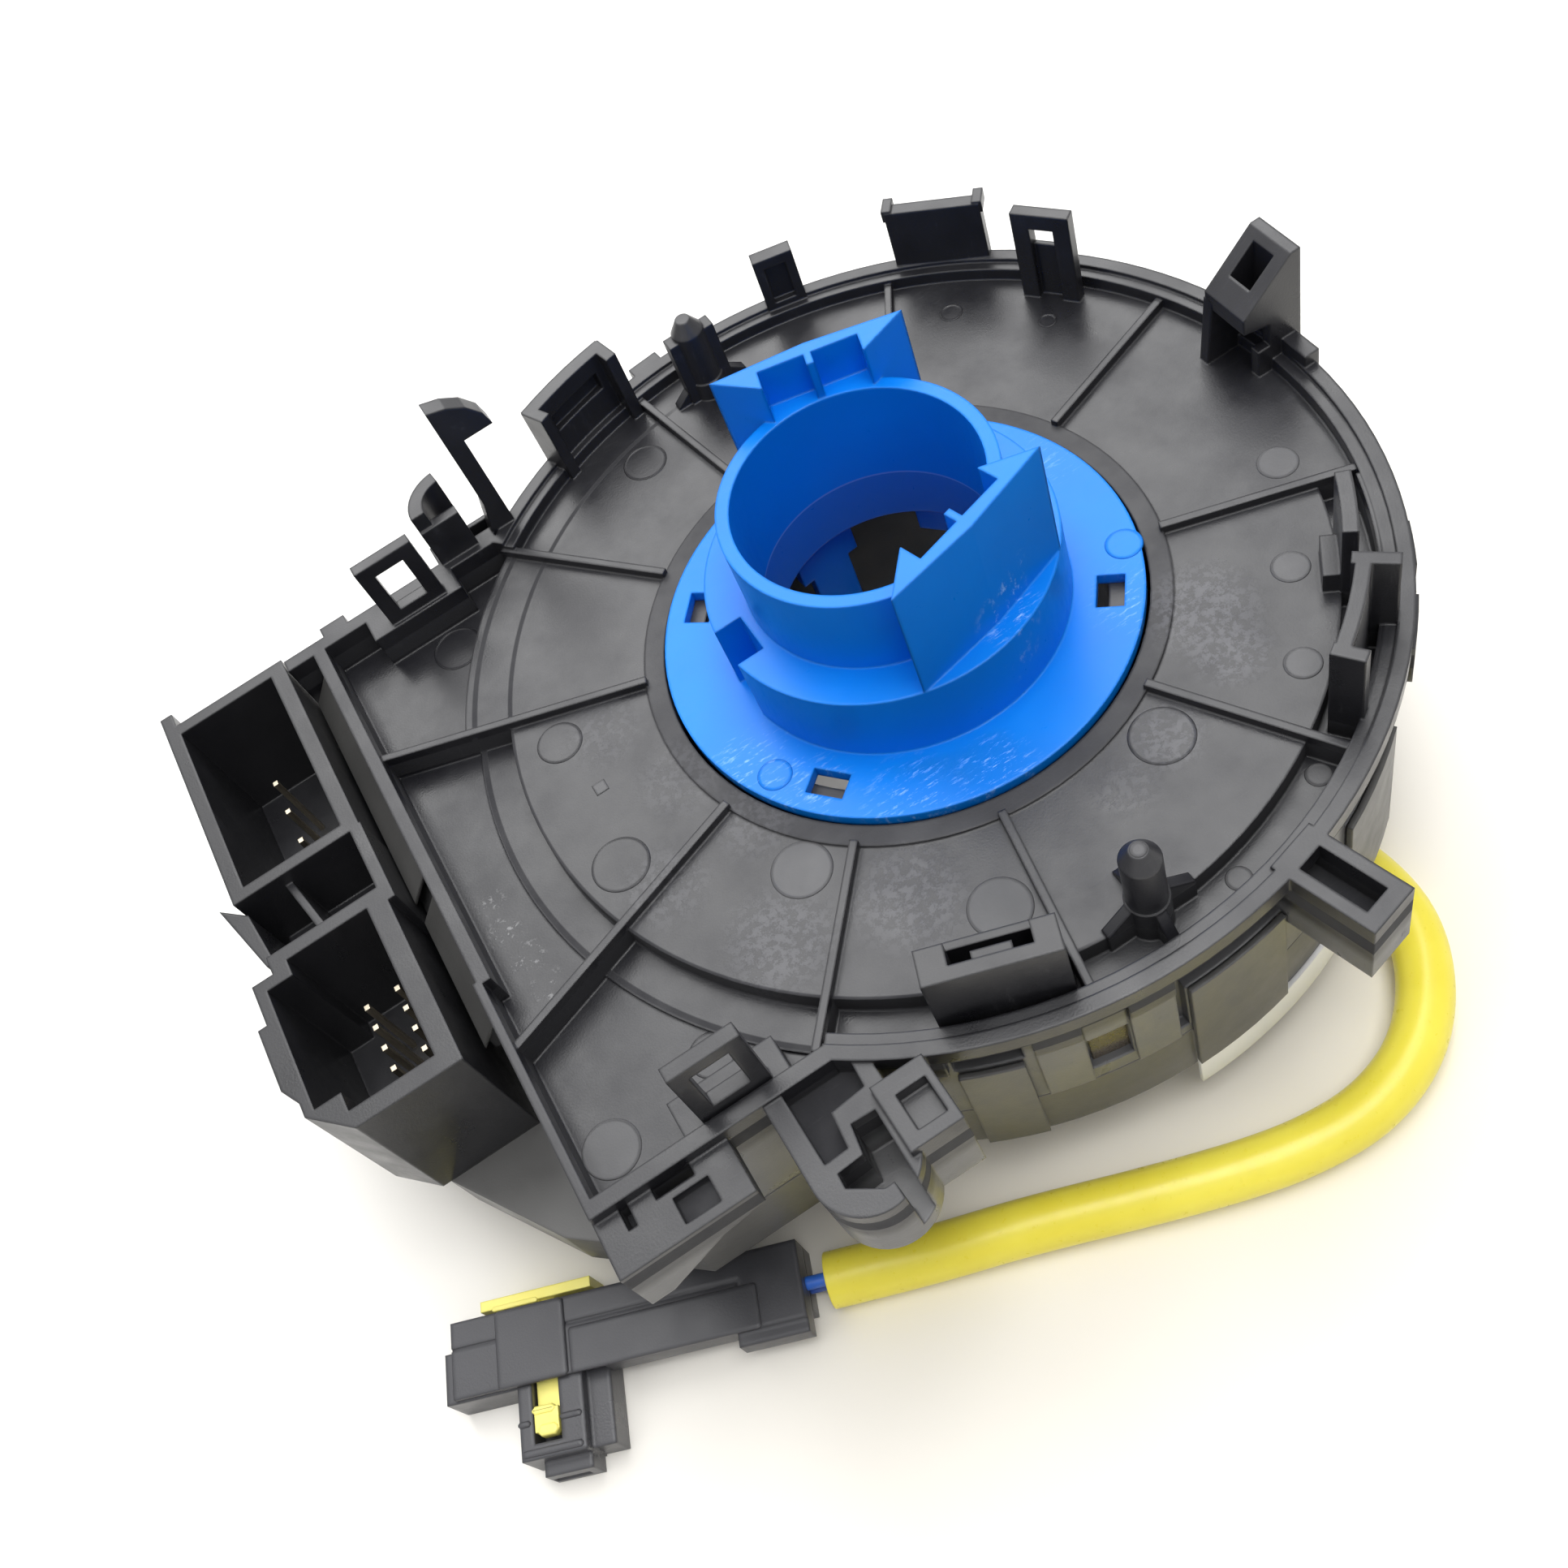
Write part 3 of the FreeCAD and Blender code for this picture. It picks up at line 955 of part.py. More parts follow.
def check_and_write():
    """Stops on a failed object or a bad shape, then writes one file per piece."""
    doc.recompute()
    failed = [item.Name for item in doc.Objects if "Invalid" in item.State or "Error" in item.State]
    if failed:
        raise RuntimeError("failed objects: " + ", ".join(failed))
    os.makedirs("parts", exist_ok=True)
    for item in SUBPARTS:
        shape = item.Shape
        if shape.isNull() or not shape.isValid():
            raise RuntimeError("bad shape: " + item.Label)
        print(item.Label, "solids", len(shape.Solids), "volume", round(shape.Volume, 1))
        shape.exportStep("parts/%s.step" % item.Label)


column_cover()
outer_case()
socket_block()
terminals()
lead_blocks()
flat_cable()
carrier_and_rollers()
rotor_hub()
wheel_sockets()
cancel_cam()
slip_films()
centring_label()
airbag_lead()
plug()
check_and_write()
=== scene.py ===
# %% [markdown]
# # A steering clock spring
# A clock spring is the rotary cable unit between a steering column and a steering wheel.
# This lesson dresses a imported model of one: black moulded plastic, a vivid blue cancelling
# cam, tinned pins, and a yellow airbag lead that lies on the table and ends in a small plug.
# The imported model gives every rigid form, so most of the work here is in finishes and in the
# small marks that the mould and handling leave.

# %% Load the imported model
import bmesh
import bpy
import math
from mathutils import Matrix, Vector


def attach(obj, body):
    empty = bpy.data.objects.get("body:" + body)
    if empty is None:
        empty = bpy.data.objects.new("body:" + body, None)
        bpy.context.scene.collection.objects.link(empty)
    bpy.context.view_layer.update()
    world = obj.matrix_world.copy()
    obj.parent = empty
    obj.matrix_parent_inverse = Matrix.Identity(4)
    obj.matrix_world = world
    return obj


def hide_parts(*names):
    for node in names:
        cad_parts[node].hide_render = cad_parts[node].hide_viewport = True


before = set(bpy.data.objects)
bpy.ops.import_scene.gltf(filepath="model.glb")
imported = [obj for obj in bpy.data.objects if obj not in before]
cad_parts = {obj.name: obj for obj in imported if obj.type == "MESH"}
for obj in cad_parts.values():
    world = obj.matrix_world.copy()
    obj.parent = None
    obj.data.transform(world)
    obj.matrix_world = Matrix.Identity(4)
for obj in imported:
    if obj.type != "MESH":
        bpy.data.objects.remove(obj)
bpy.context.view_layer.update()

MM = 0.001  # lengths are written in millimetres
TABLE_LEVEL = -38.5 * MM

# %% [markdown]
# ## Camera
# The unit is seen from the front, steeply from above, and the view leans to one side.
# The place, turn and lens below were worked out from circles and corners whose real places
# are known, so a point of the model lands on the same point of the picture.

# %% The camera
CAMERA_PLACE = Vector((-31.292, -107.454, 140.045)) * MM
CAMERA_TURN = (31.1011, 15.5255, -29.6768)
SENSOR_WIDTH = 36.0
LENS = 36.93
camera_data = bpy.data.cameras.new("camera")
camera_data.sensor_width = SENSOR_WIDTH
camera_data.lens = LENS
camera = bpy.data.objects.new("camera", camera_data)
camera.location = CAMERA_PLACE
camera.rotation_euler = [math.radians(angle) for angle in CAMERA_TURN]
bpy.context.scene.collection.objects.link(camera)
bpy.context.scene.camera = camera
print("camera is", round(CAMERA_PLACE.length, 3), "m from the origin")

# %% [markdown]
# ## Helpers that start a material
# Every finish is built from shader nodes. Short helpers keep the finishes readable: they add
# a node, join two sockets, and start a material with its colour and roughness on the main
# shader's own sockets, so that a plain value stays plain in an export.

# %% Helpers that start a material


def add_node(material, kind, **settings):
    """Adds a shader node and sets the named properties on it."""
    item = material.node_tree.nodes.new(kind)
    for name, value in settings.items():
        setattr(item, name, value)
    return item


def join(material, source, target):
    material.node_tree.links.new(source, target)


def start_material(name, colour, roughness):
    """A material with its colour and roughness on the main shader's own sockets."""
    material = bpy.data.materials.new(name)
    material.use_nodes = True
    shader = material.node_tree.nodes["Principled BSDF"]
    shader.inputs["Base Color"].default_value = (*colour, 1.0)
    shader.inputs["Roughness"].default_value = roughness
    material.diffuse_color = (*colour, 1.0)
    return material, shader


def object_place(material):
    """The place on the surface in the part's own metres."""
    return add_node(material, "ShaderNodeTexCoord").outputs["Object"]


print("material helpers are ready")

# %% [markdown]
# ## Helpers that make a pattern
# A pattern is a number that varies over the surface. Noise gives it, a Map Range node cuts it
# to the wanted band, and maths joins two of them. All patterns read Object coordinates, so a
# mark stays at its place on the part when the view changes.

# %% Helpers that make a pattern


def noise(material, place, scale, detail=3.0, roughness=0.5):
    item = add_node(material, "ShaderNodeTexNoise")
    item.inputs["Scale"].default_value = scale
    item.inputs["Detail"].default_value = detail
    item.inputs["Roughness"].default_value = roughness
    join(material, place, item.inputs["Vector"])
    return item.outputs["Fac"]


def stretched_noise(material, place, stretch, turn, scale, detail=3.0, roughness=0.5):
    """Noise drawn out along one direction, as draw marks and scratches are."""
    item = add_node(material, "ShaderNodeMapping")
    item.inputs["Scale"].default_value = stretch
    item.inputs["Rotation"].default_value = (0.0, 0.0, turn)
    join(material, place, item.inputs["Vector"])
    return noise(material, item.outputs["Vector"], scale, detail, roughness)


def spread(material, value, low, high, out_low, out_high):
    """Maps a value from one range to another, held at both ends."""
    item = add_node(material, "ShaderNodeMapRange")
    item.inputs["From Min"].default_value = low
    item.inputs["From Max"].default_value = high
    item.inputs["To Min"].default_value = out_low
    item.inputs["To Max"].default_value = out_high
    join(material, value, item.inputs["Value"])
    return item.outputs["Result"]


def combine(material, operation, first, second):
    """Joins two values, each a number or another node's output, by one operation."""
    item = add_node(material, "ShaderNodeMath", operation=operation)
    for socket, value in zip(item.inputs, (first, second)):
        if isinstance(value, float):
            socket.default_value = value
        else:
            join(material, value, socket)
    return item.outputs[0]


def times(material, first, second):
    return combine(material, "MULTIPLY", first, second)


def plus(material, first, second):
    return combine(material, "ADD", first, second)


print("pattern helpers are ready")

# %% [markdown]
# ## Helpers for places and colours
# A mark is placed by its distance from a point, or by its height and its distance from the
# rotor's axis. A Mix node then blends its colour over what lies below. A Bevel node rounds
# the sharp edges in the shading, as every moulded edge is a little round.

# %% Helpers for places and colours


def near(material, place, centre, inner, outer):
    """One near a point, falling to nothing at the outer distance (millimetres)."""
    item = add_node(material, "ShaderNodeVectorMath", operation="DISTANCE")
    join(material, place, item.inputs[0])
    item.inputs[1].default_value = Vector(centre) * MM
    return spread(material, item.outputs["Value"], inner * MM, outer * MM, 1.0, 0.0)


def split_place(material, place):
    """The three coordinates as outputs named X, Y and Z."""
    item = add_node(material, "ShaderNodeSeparateXYZ")
    join(material, place, item.inputs[0])
    return item.outputs


def axis_distance_squared(material, parts):
    return plus(material, times(material, parts["X"], parts["X"]), times(material, parts["Y"], parts["Y"]))


def blend_colours(material, factor, first, second):
    """Mixes two colours, each a tuple or another node's output."""
    item = add_node(material, "ShaderNodeMix", data_type="RGBA")
    join(material, factor, item.inputs["Factor"])
    for name, value in (("A", first), ("B", second)):
        socket = [s for s in item.inputs if s.name == name and s.type == "RGBA"][0]
        if isinstance(value, tuple):
            socket.default_value = (*value, 1.0)
        else:
            join(material, value, socket)
    return [s for s in item.outputs if s.type == "RGBA"][0]


RELIEF_DEPTH = 0.0001


def soft_edges(material, shader, radius, height=None, strength=0.1):
    """Rounds sharp edges in the shading, and adds a fine relief where a height is given."""
    bevel = add_node(material, "ShaderNodeBevel")
    bevel.samples = 6
    bevel.inputs["Radius"].default_value = radius
    if height is None:
        join(material, bevel.outputs["Normal"], shader.inputs["Normal"])
        return
    bump = add_node(material, "ShaderNodeBump")
    bump.inputs["Strength"].default_value = strength
    bump.inputs["Distance"].default_value = RELIEF_DEPTH
    join(material, height, bump.inputs["Height"])
    join(material, bevel.outputs["Normal"], bump.inputs["Normal"])
    join(material, bump.outputs["Normal"], shader.inputs["Normal"])


print("place and colour helpers are ready")

# %% [markdown]
# ## Marks on the black plastic
# The stator's cover shows how it was made and handled. Worn spots of the mould left crinkled
# patches, dried glue lies as pale flecks on the floor of the bay, and fine scratches cross
# the deck. Each kind of mark is a small function that takes the colour so far and hands back
# a new one. A sharp step in a noise breaks a round patch into flecks.

# %% Crinkled patches, glue and scratches
ROUGH_PATCHES = (
    # centre in plan, height, radius where the patch ends, and how strong it is
    (24.6, -21.5, -1.1, 7.0, 1.0), (23.8, -27.5, -1.1, 5.0, 1.0), (12.6, -31.8, -1.1, 4.6, 0.8),
    (6.0, -34.0, -1.1, 4.0, 0.4), (-30.5, -3.0, -1.1, 6.0, 0.45), (-35.0, 8.0, -1.1, 5.5, 0.4),
    (-38.0, -14.0, -1.1, 6.0, 0.45), (-31.0, -27.0, -1.1, 7.0, 0.8), (-18.0, -31.0, -1.1, 7.0, 0.8),
    (-26.0, -13.0, -1.1, 6.0, 0.5),
)
GLUE_SPOTS = (
    # centre in plan, height and radius
    (-55.6, -1.0, -4.0, 2.4), (-55.2, -5.5, -4.0, 2.8), (-54.6, -10.0, -4.0, 2.8),
    (-54.1, -14.5, -4.0, 2.6),
)
GLUE_COLOUR = (0.16, 0.16, 0.165)
SCRATCH_COLOUR = (0.075, 0.075, 0.080)
SCRATCHES = ((0.9, 0.30), (-0.5, 0.22))  # turn in radians and strength
FLECK_RELIEF = 4.5
GLUE_RELIEF = 2.0


def crinkled(material, place, broken, base, colour, height):
    """Adds paler, raised flecks in every worn patch."""
    fleck_colour = tuple(value * 3.0 + 0.020 for value in base)
    for x, y, z, size, strength in ROUGH_PATCHES:
        spot = near(material, place, (x, y, z), size * 0.45, size)
        crinkle = times(material, spot, spread(material, broken, 0.46, 0.53, 0.0, strength))
        colour = blend_colours(material, crinkle, colour, fleck_colour)
        height = plus(material, height, times(material, crinkle, FLECK_RELIEF))
    return colour, height


def glued(material, place, broken, colour, height):
    """Adds flecks of dried glue."""
    for x, y, z, size in GLUE_SPOTS:
        spot = near(material, place, (x, y, z), size * 0.3, size)
        flecks = times(material, spot, spread(material, broken, 0.56, 0.62, 0.0, 1.0))
        colour = blend_colours(material, flecks, colour, GLUE_COLOUR)
        height = plus(material, height, times(material, flecks, GLUE_RELIEF))
    return colour, height


def scratched(material, place, smear, colour, rough):
    """Adds fine scratches in two directions, only where the plastic was handled."""
    for turn, strength in SCRATCHES:
        lines = stretched_noise(material, place, (1.0, 16.0, 1.0), turn, 240.0, 6.0, 0.7)
        scratch = times(material, spread(material, lines, 0.60, 0.68, 0.0, strength),
                        spread(material, smear, 0.42, 0.6, 0.0, 1.0))
        colour = blend_colours(material, scratch, colour, SCRATCH_COLOUR)
        rough = plus(material, rough, times(material, scratch, 0.4))
    return colour, rough


print("patches:", len(ROUGH_PATCHES), "glue spots:", len(GLUE_SPOTS))

# %% [markdown]
# ## Duller rings and step walls
# Cloths and fingers don't reach the walls of the steps, the ring round the opening and the
# two grooves on the left of the deck, so these stay dull and look darker. A height band gives
# the walls, and bands of distance from the rotor's axis give the rings. They raise the
# roughness, which an export keeps.

# %% Where the cover stays dull
DULL_RINGS = (
    # inner and outer radius, and how far right the ring reaches
    (27.3, 29.8, 60.0), (46.1, 46.8, -4.0), (50.5, 51.3, -18.0),
)
RING_EDGE = 0.15
RING_FADE = 6.0
STEP_WALL = (-3.5, -1.25)
STEP_EDGE = 0.05
DECK_BAND = (-0.9, -0.7)


def dull_zones(material, parts):
    """One on the walls of the deck's steps and in the dull rings, else nothing."""
    bottom, top = STEP_WALL
    above = spread(material, parts["Z"], (bottom - STEP_EDGE) * MM, bottom * MM, 0.0, 1.0)
    under = spread(material, parts["Z"], top * MM, (top + STEP_EDGE) * MM, 1.0, 0.0)
    zones = times(material, above, under)
    across = axis_distance_squared(material, parts)
    deck = spread(material, parts["Z"], DECK_BAND[0] * MM, DECK_BAND[1] * MM, 1.0, 0.0)
    for inner, outer, reach in DULL_RINGS:
        inside = spread(material, across, (inner * MM) ** 2, ((inner + RING_EDGE) * MM) ** 2, 0.0, 1.0)
        within = spread(material, across, ((outer - RING_EDGE) * MM) ** 2, (outer * MM) ** 2, 1.0, 0.0)
        left = spread(material, parts["X"], (reach - RING_FADE) * MM, reach * MM, 1.0, 0.0)
        ring = times(material, times(material, inside, within), left)
        zones = combine(material, "MAXIMUM", zones, times(material, ring, deck))
    return zones


print("dull rings:", len(DULL_RINGS))

# %% [markdown]
# ## Black moulded plastic
# The stator is injection moulded in a glass-filled black plastic with a satin surface. A dark
# base, a roughness that wanders and a fine grain in the relief give this. The cover also gets
# the marks above. Its lower outer walls get a paler colour, painted light that stands in for
# the light the pale table throws up onto them.

# %% Black plastic for every dark piece
# painted light: the paler colour, and the height band, of the cover's lower walls lit by the table
PAINTED_WALL_LIGHT = (0.100, 0.1000, 0.1030)
PAINTED_WALL_LIGHT_BAND = (-6.0, -4.5)
BROAD_SCALE = 35.0
CLOUD_SCALE = 55.0
SMEAR_SCALE = 140.0
FLECK_SCALE = 1100.0
GRAIN_SCALE = 4200.0
GRAIN_STRENGTH = 0.14
DULLER = 0.45


def black_plastic(name, base, roughness, edge=0.0004, marked=False):
    """A satin black plastic, with the cover's marks and painted light on the lower walls where it is
    marked.
    """
    material, shader = start_material(name, base, roughness)
    place = object_place(material)
    broad = noise(material, place, BROAD_SCALE, 4.0)
    smear = noise(material, place, SMEAR_SCALE, 5.0, 0.6)
    height = noise(material, place, GRAIN_SCALE, 2.0)
    rough = spread(material, smear, 0.3, 0.7, roughness - 0.07, roughness + 0.13)
    pale = tuple(value * 1.7 + 0.002 for value in base)
    colour = blend_colours(material, spread(material, broad, 0.35, 0.75, 0.0, 0.5), base, pale)
    if marked:
        parts = split_place(material, place)
        # painted light: the cover's lower walls are made paler for the light the table throws up
        low = spread(material, parts["Z"], PAINTED_WALL_LIGHT_BAND[0] * MM, PAINTED_WALL_LIGHT_BAND[1] * MM, 1.0, 0.0)
        colour = blend_colours(material, low, colour, PAINTED_WALL_LIGHT)
        colour, rough = scratched(material, place, smear, colour, rough)
        broken = noise(material, place, FLECK_SCALE, 7.0, 0.75)
        colour, height = crinkled(material, place, broken, base, colour, height)
        colour, height = glued(material, place, broken, colour, height)
    cloud = noise(material, place, CLOUD_SCALE, 5.0, 0.65)
    rough = plus(material, rough, spread(material, cloud, 0.35, 0.62, 0.06, -0.02))
    if marked:
        rough = plus(material, rough, times(material, dull_zones(material, parts), DULLER))
    join(material, colour, shader.inputs["Base Color"])
    join(material, rough, shader.inputs["Roughness"])
    shader.inputs["Specular IOR Level"].default_value = 0.55
    soft_edges(material, shader, edge, height, GRAIN_STRENGTH)
    return material


cover_finish = black_plastic("cover_black", (0.0110, 0.0110, 0.0135), 0.31, marked=True)
case_finish = black_plastic("case_black", (0.0700, 0.0690, 0.0670), 0.36)
socket_finish = black_plastic("socket_black", (0.0120, 0.0120, 0.0140), 0.31)
rotor_finish = black_plastic("rotor_black", (0.0140, 0.0140, 0.0155), 0.36)
plug_finish = black_plastic("plug_black", (0.0380, 0.0380, 0.0430), 0.33, edge=0.0007)
frosted_finish = black_plastic("frosted_mark", (0.0550, 0.0550, 0.0580), 0.46)
insert_finish = black_plastic("insert_grey", (0.05, 0.05, 0.052), 0.45)
print("black finishes:", ", ".join(item.name for item in (
    cover_finish, case_finish, socket_finish, rotor_finish, plug_finish, frosted_finish,
    insert_finish)))

# %% [markdown]
# ## Blue cam
# The cancelling cam runs against the switch levers, so it is moulded in a slippery acetal.
# It is a clean saturated blue with a soft gloss, and the flange shows pale scuffs where
# grease and fingers have been. The scuffs are stretched noise that only shows in patches. A
# little subsurface imitates the light that enters the plastic. The bore has a fine parting
# step: a pale line paints its highlight, and the bore below it is painted darker as shade.

# %% Blue acetal
SCUFFED_SPOTS = (
    # centre in plan, height, radius and strength
    (-23.5, -8.0, 0.0, 6.0, 0.8), (-19.5, -14.5, 0.0, 5.0, 0.7), (-12.0, -22.0, 0.0, 6.0, 0.7),
    (-3.0, -24.8, 0.0, 5.0, 0.8), (20.0, -17.0, 0.0, 6.0, 0.6), (24.0, 6.0, 0.0, 5.0, 0.4),
    (6.0, -16.6, 10.5, 4.5, 1.0), (5.0, -16.8, 5.0, 3.5, 0.7), (8.5, -15.6, 13.0, 3.0, 0.9),
)
SCUFF_COLOUR = (0.30, 0.55, 0.95)
BORE_LINE = 6.7
LINE_HEIGHT = 0.3
LINE_FADE = 0.05
BORE_EDGE = 13.5
# painted shade for the lower bore, and a painted highlight for the edge of its step
BORE_SHADE_COLOUR = (0.035, 0.115, 0.42)
STEP_HIGHLIGHT_COLOUR = (0.2, 0.36, 0.85)


def scuffed(material, place, streaks, colour, rough):
    """Adds pale scuffs that follow the streaks."""
    for x, y, z, size, strength in SCUFFED_SPOTS:
        spot = near(material, place, (x, y, z), size * 0.2, size)
        scuff = times(material, spot, spread(material, streaks, 0.54, 0.62, 0.0, strength))
        colour = blend_colours(material, scuff, colour, SCUFF_COLOUR)
        rough = plus(material, rough, times(material, scuff, 0.35))
    return colour, rough


def shaded_bore_with_highlight(material, place, colour):
    """Paints shade on the lower bore and a highlight line along the step at its top."""
    parts = split_place(material, place)
    inside = spread(material, axis_distance_squared(material, parts),
                    (BORE_EDGE * MM) ** 2, ((BORE_EDGE + 0.1) * MM) ** 2, 1.0, 0.0)
    below = times(material, inside,
                  spread(material, parts["Z"], (BORE_LINE - LINE_FADE) * MM, BORE_LINE * MM, 1.0, 0.0))
    above = spread(material, parts["Z"], (BORE_LINE - LINE_HEIGHT) * MM,
                   (BORE_LINE - LINE_HEIGHT + LINE_FADE) * MM, 0.0, 1.0)
    line = times(material, below, above)
    # painted shade on the lower bore, then the step's painted highlight line
    colour = blend_colours(material, times(material, below, 0.5), colour, BORE_SHADE_COLOUR)
    return blend_colours(material, times(material, line, 0.6), colour, STEP_HIGHLIGHT_COLOUR)


def blue_acetal():
    material, shader = start_material("cam_blue", (0.0, 0.200, 0.76), 0.32)
    place = object_place(material)
    broad = spread(material, noise(material, place, 45.0, 3.0), 0.3, 0.75, 0.0, 1.0)
    colour = blend_colours(material, broad, (0.0, 0.178, 0.70), (0.0, 0.225, 0.82))
    streaks = stretched_noise(material, place, (1.0, 4.5, 1.0), 0.6, 420.0, 8.0, 0.75)
    rough = spread(material, streaks, 0.3, 0.7, 0.26, 0.40)
    colour, rough = scuffed(material, place, streaks, colour, rough)
    colour = shaded_bore_with_highlight(material, place, colour)
    join(material, colour, shader.inputs["Base Color"])
    join(material, rough, shader.inputs["Roughness"])
    shader.inputs["Specular IOR Level"].default_value = 0.28
    shader.inputs["Subsurface Weight"].default_value = 0.06
    shader.inputs["Subsurface Radius"].default_value = (0.0004, 0.0008, 0.0016)
    soft_edges(material, shader, 0.00045, streaks, 0.06)
    return material


cam_finish = blue_acetal()
print("cam finish:", cam_finish.name, "with", len(SCUFFED_SPOTS), "scuffed spots")

# %% [markdown]
# ## Metal pins
# The socket pins are stamped brass with a thin coat of tin. Their long draw marks come from a
# noise that is stretched along the pin, and both the tone and the roughness follow it.

# %% Tinned pins


def tinned_metal():
    material, shader = start_material("tinned_pin", (0.50, 0.44, 0.34), 0.38)
    place = object_place(material)
    marks = stretched_noise(material, place, (1.0, 1.0, 0.08), 0.0, 2500.0)
    colour = blend_colours(material, marks, (0.42, 0.37, 0.28), (0.58, 0.52, 0.41))
    join(material, colour, shader.inputs["Base Color"])
    join(material, spread(material, marks, 0.3, 0.7, 0.32, 0.46), shader.inputs["Roughness"])
    shader.inputs["Metallic"].default_value = 1.0
    soft_edges(material, shader, 0.00012)
    return material


pin_finish = tinned_metal()
print("pin finish:", pin_finish.name)

# %% [markdown]
# ## Lead, lock and small parts
# The lead's sleeve is a soft vinyl tube, a slightly greenish yellow, and faintly cloudy. The
# plug's lock is a harder, paler yellow plastic. The wires, the strip, the film, the carrier and
# its rollers get finishes of the same build, each with its own two tones and its own scale of
# cloudiness.

# %% Cloudy plastics of the lead and the hidden parts


def cloudy_plastic(name, dark, light, roughness, scale):
    """A plain plastic whose tone and gloss wander between two values."""
    material, shader = start_material(name, light, roughness)
    place = object_place(material)
    cloud = noise(material, place, scale, 4.0, 0.6)
    fine = noise(material, place, scale * 22.0, 2.0)
    colour = blend_colours(material, spread(material, cloud, 0.3, 0.7, 0.0, 1.0), dark, light)
    join(material, colour, shader.inputs["Base Color"])
    join(material, spread(material, fine, 0.3, 0.7, roughness - 0.06, roughness + 0.06),
         shader.inputs["Roughness"])
    soft_edges(material, shader, 0.0003, fine, 0.06)
    return material


sleeve_finish = cloudy_plastic("sleeve_yellow", (0.81, 0.69, 0.05), (0.92, 0.81, 0.09), 0.33, 60.0)
sleeve_shader = sleeve_finish.node_tree.nodes["Principled BSDF"]
sleeve_shader.inputs["Subsurface Weight"].default_value = 0.12
sleeve_shader.inputs["Subsurface Radius"].default_value = (0.002, 0.0015, 0.0004)
lock_finish = cloudy_plastic("lock_yellow", (0.88, 0.78, 0.16), (0.94, 0.87, 0.26), 0.34, 90.0)
blue_wire_finish = cloudy_plastic("wire_blue", (0.02, 0.11, 0.55), (0.04, 0.18, 0.72), 0.4, 200.0)
dark_wire_finish = cloudy_plastic("wire_dark_blue", (0.01, 0.05, 0.30), (0.02, 0.09, 0.42), 0.4, 200.0)
strip_finish = cloudy_plastic("strip_white", (0.83, 0.83, 0.82), (0.92, 0.92, 0.91), 0.5, 70.0)
carrier_finish = cloudy_plastic("carrier_white", (0.62, 0.61, 0.57), (0.74, 0.73, 0.69), 0.42, 50.0)
film_finish = cloudy_plastic("film_clear", (0.7, 0.7, 0.7), (0.85, 0.85, 0.85), 0.2, 60.0)
window_finish = cloudy_plastic("window_brown", (0.035, 0.026, 0.014), (0.07, 0.05, 0.025), 0.3, 150.0)
ferrite_finish = cloudy_plastic("ferrite_grey", (0.04, 0.04, 0.042), (0.08, 0.08, 0.085), 0.6, 400.0)
print("cloudy finishes:", ", ".join(item.name for item in (
    sleeve_finish, lock_finish, blue_wire_finish, dark_wire_finish, strip_finish, carrier_finish,
    film_finish, window_finish, ferrite_finish)))

# %% [markdown]
# ## Ribbon film
# The ribbon is an amber film with flat copper tracks along it. A sine of the height gives the
# tracks as bands, because the ribbon stands on edge and its tracks run round the drum.

# %% Ribbon film
TRACK_WAVE = 3200.0
TRACK_COLOUR = (0.72, 0.38, 0.18)


def ribbon_film():
    material, shader = start_material("ribbon_amber", (0.55, 0.27, 0.07), 0.25)
    place = object_place(material)
    parts = split_place(material, place)
    wave = combine(material, "SINE", times(material, parts["Z"], TRACK_WAVE), 0.0)
    tracks = spread(material, wave, -0.1, 0.1, 0.0, 1.0)
    film = blend_colours(material, noise(material, place, 120.0, 3.0), (0.45, 0.20, 0.05),
                         (0.62, 0.32, 0.10))
    join(material, blend_colours(material, tracks, film, TRACK_COLOUR), shader.inputs["Base Color"])
    join(material, spread(material, tracks, 0.0, 1.0, 0.3, 0.2), shader.inputs["Roughness"])
    soft_edges(material, shader, 0.0001)
    return material


ribbon_finish = ribbon_film()
print("ribbon finish:", ribbon_finish.name)

# %% [markdown]
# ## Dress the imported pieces
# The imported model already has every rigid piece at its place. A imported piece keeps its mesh
# and only gets a better finish in its material slots, so that the shapes stay the ones of the
# construction.

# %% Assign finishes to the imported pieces
FINISHES = {
    "column_cover": cover_finish, "outer_case": case_finish, "socket_block": socket_finish,
    "signal_pins": pin_finish, "airbag_pins": pin_finish, "stator_lead_block": insert_finish,
    "upper_slip_film": film_finish, "flat_cable": ribbon_finish, "centring_label": strip_finish,
    "rotor_hub": rotor_finish, "cancel_cam": cam_finish, "switch_socket": rotor_finish,
    "switch_pins": pin_finish, "horn_socket": rotor_finish, "horn_pins": pin_finish,
    "rotor_lead_block": insert_finish, "airbag_wire_a": blue_wire_finish,
    "airbag_wire_b": dark_wire_finish, "plug_body": plug_finish, "plug_cover": plug_finish,
    "plug_contacts": pin_finish, "plug_ferrite": ferrite_finish, "plug_lock": lock_finish,
    "cable_carrier": carrier_finish,
}
for number in range(1, 7):
    FINISHES["roller_%d" % number] = carrier_finish
for name, finish in FINISHES.items():
    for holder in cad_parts[name].material_slots:
        holder.material = finish
print("dressed", len(FINISHES), "packed pieces")

# %% [markdown]
# ## The airbag lead
# The two airbag wires run in one soft sleeve about 6 mm thick. It leaves the rotor's guide
# under the disc, turns round in a limp half circle on the table and ends at the plug. A
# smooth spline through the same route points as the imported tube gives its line.

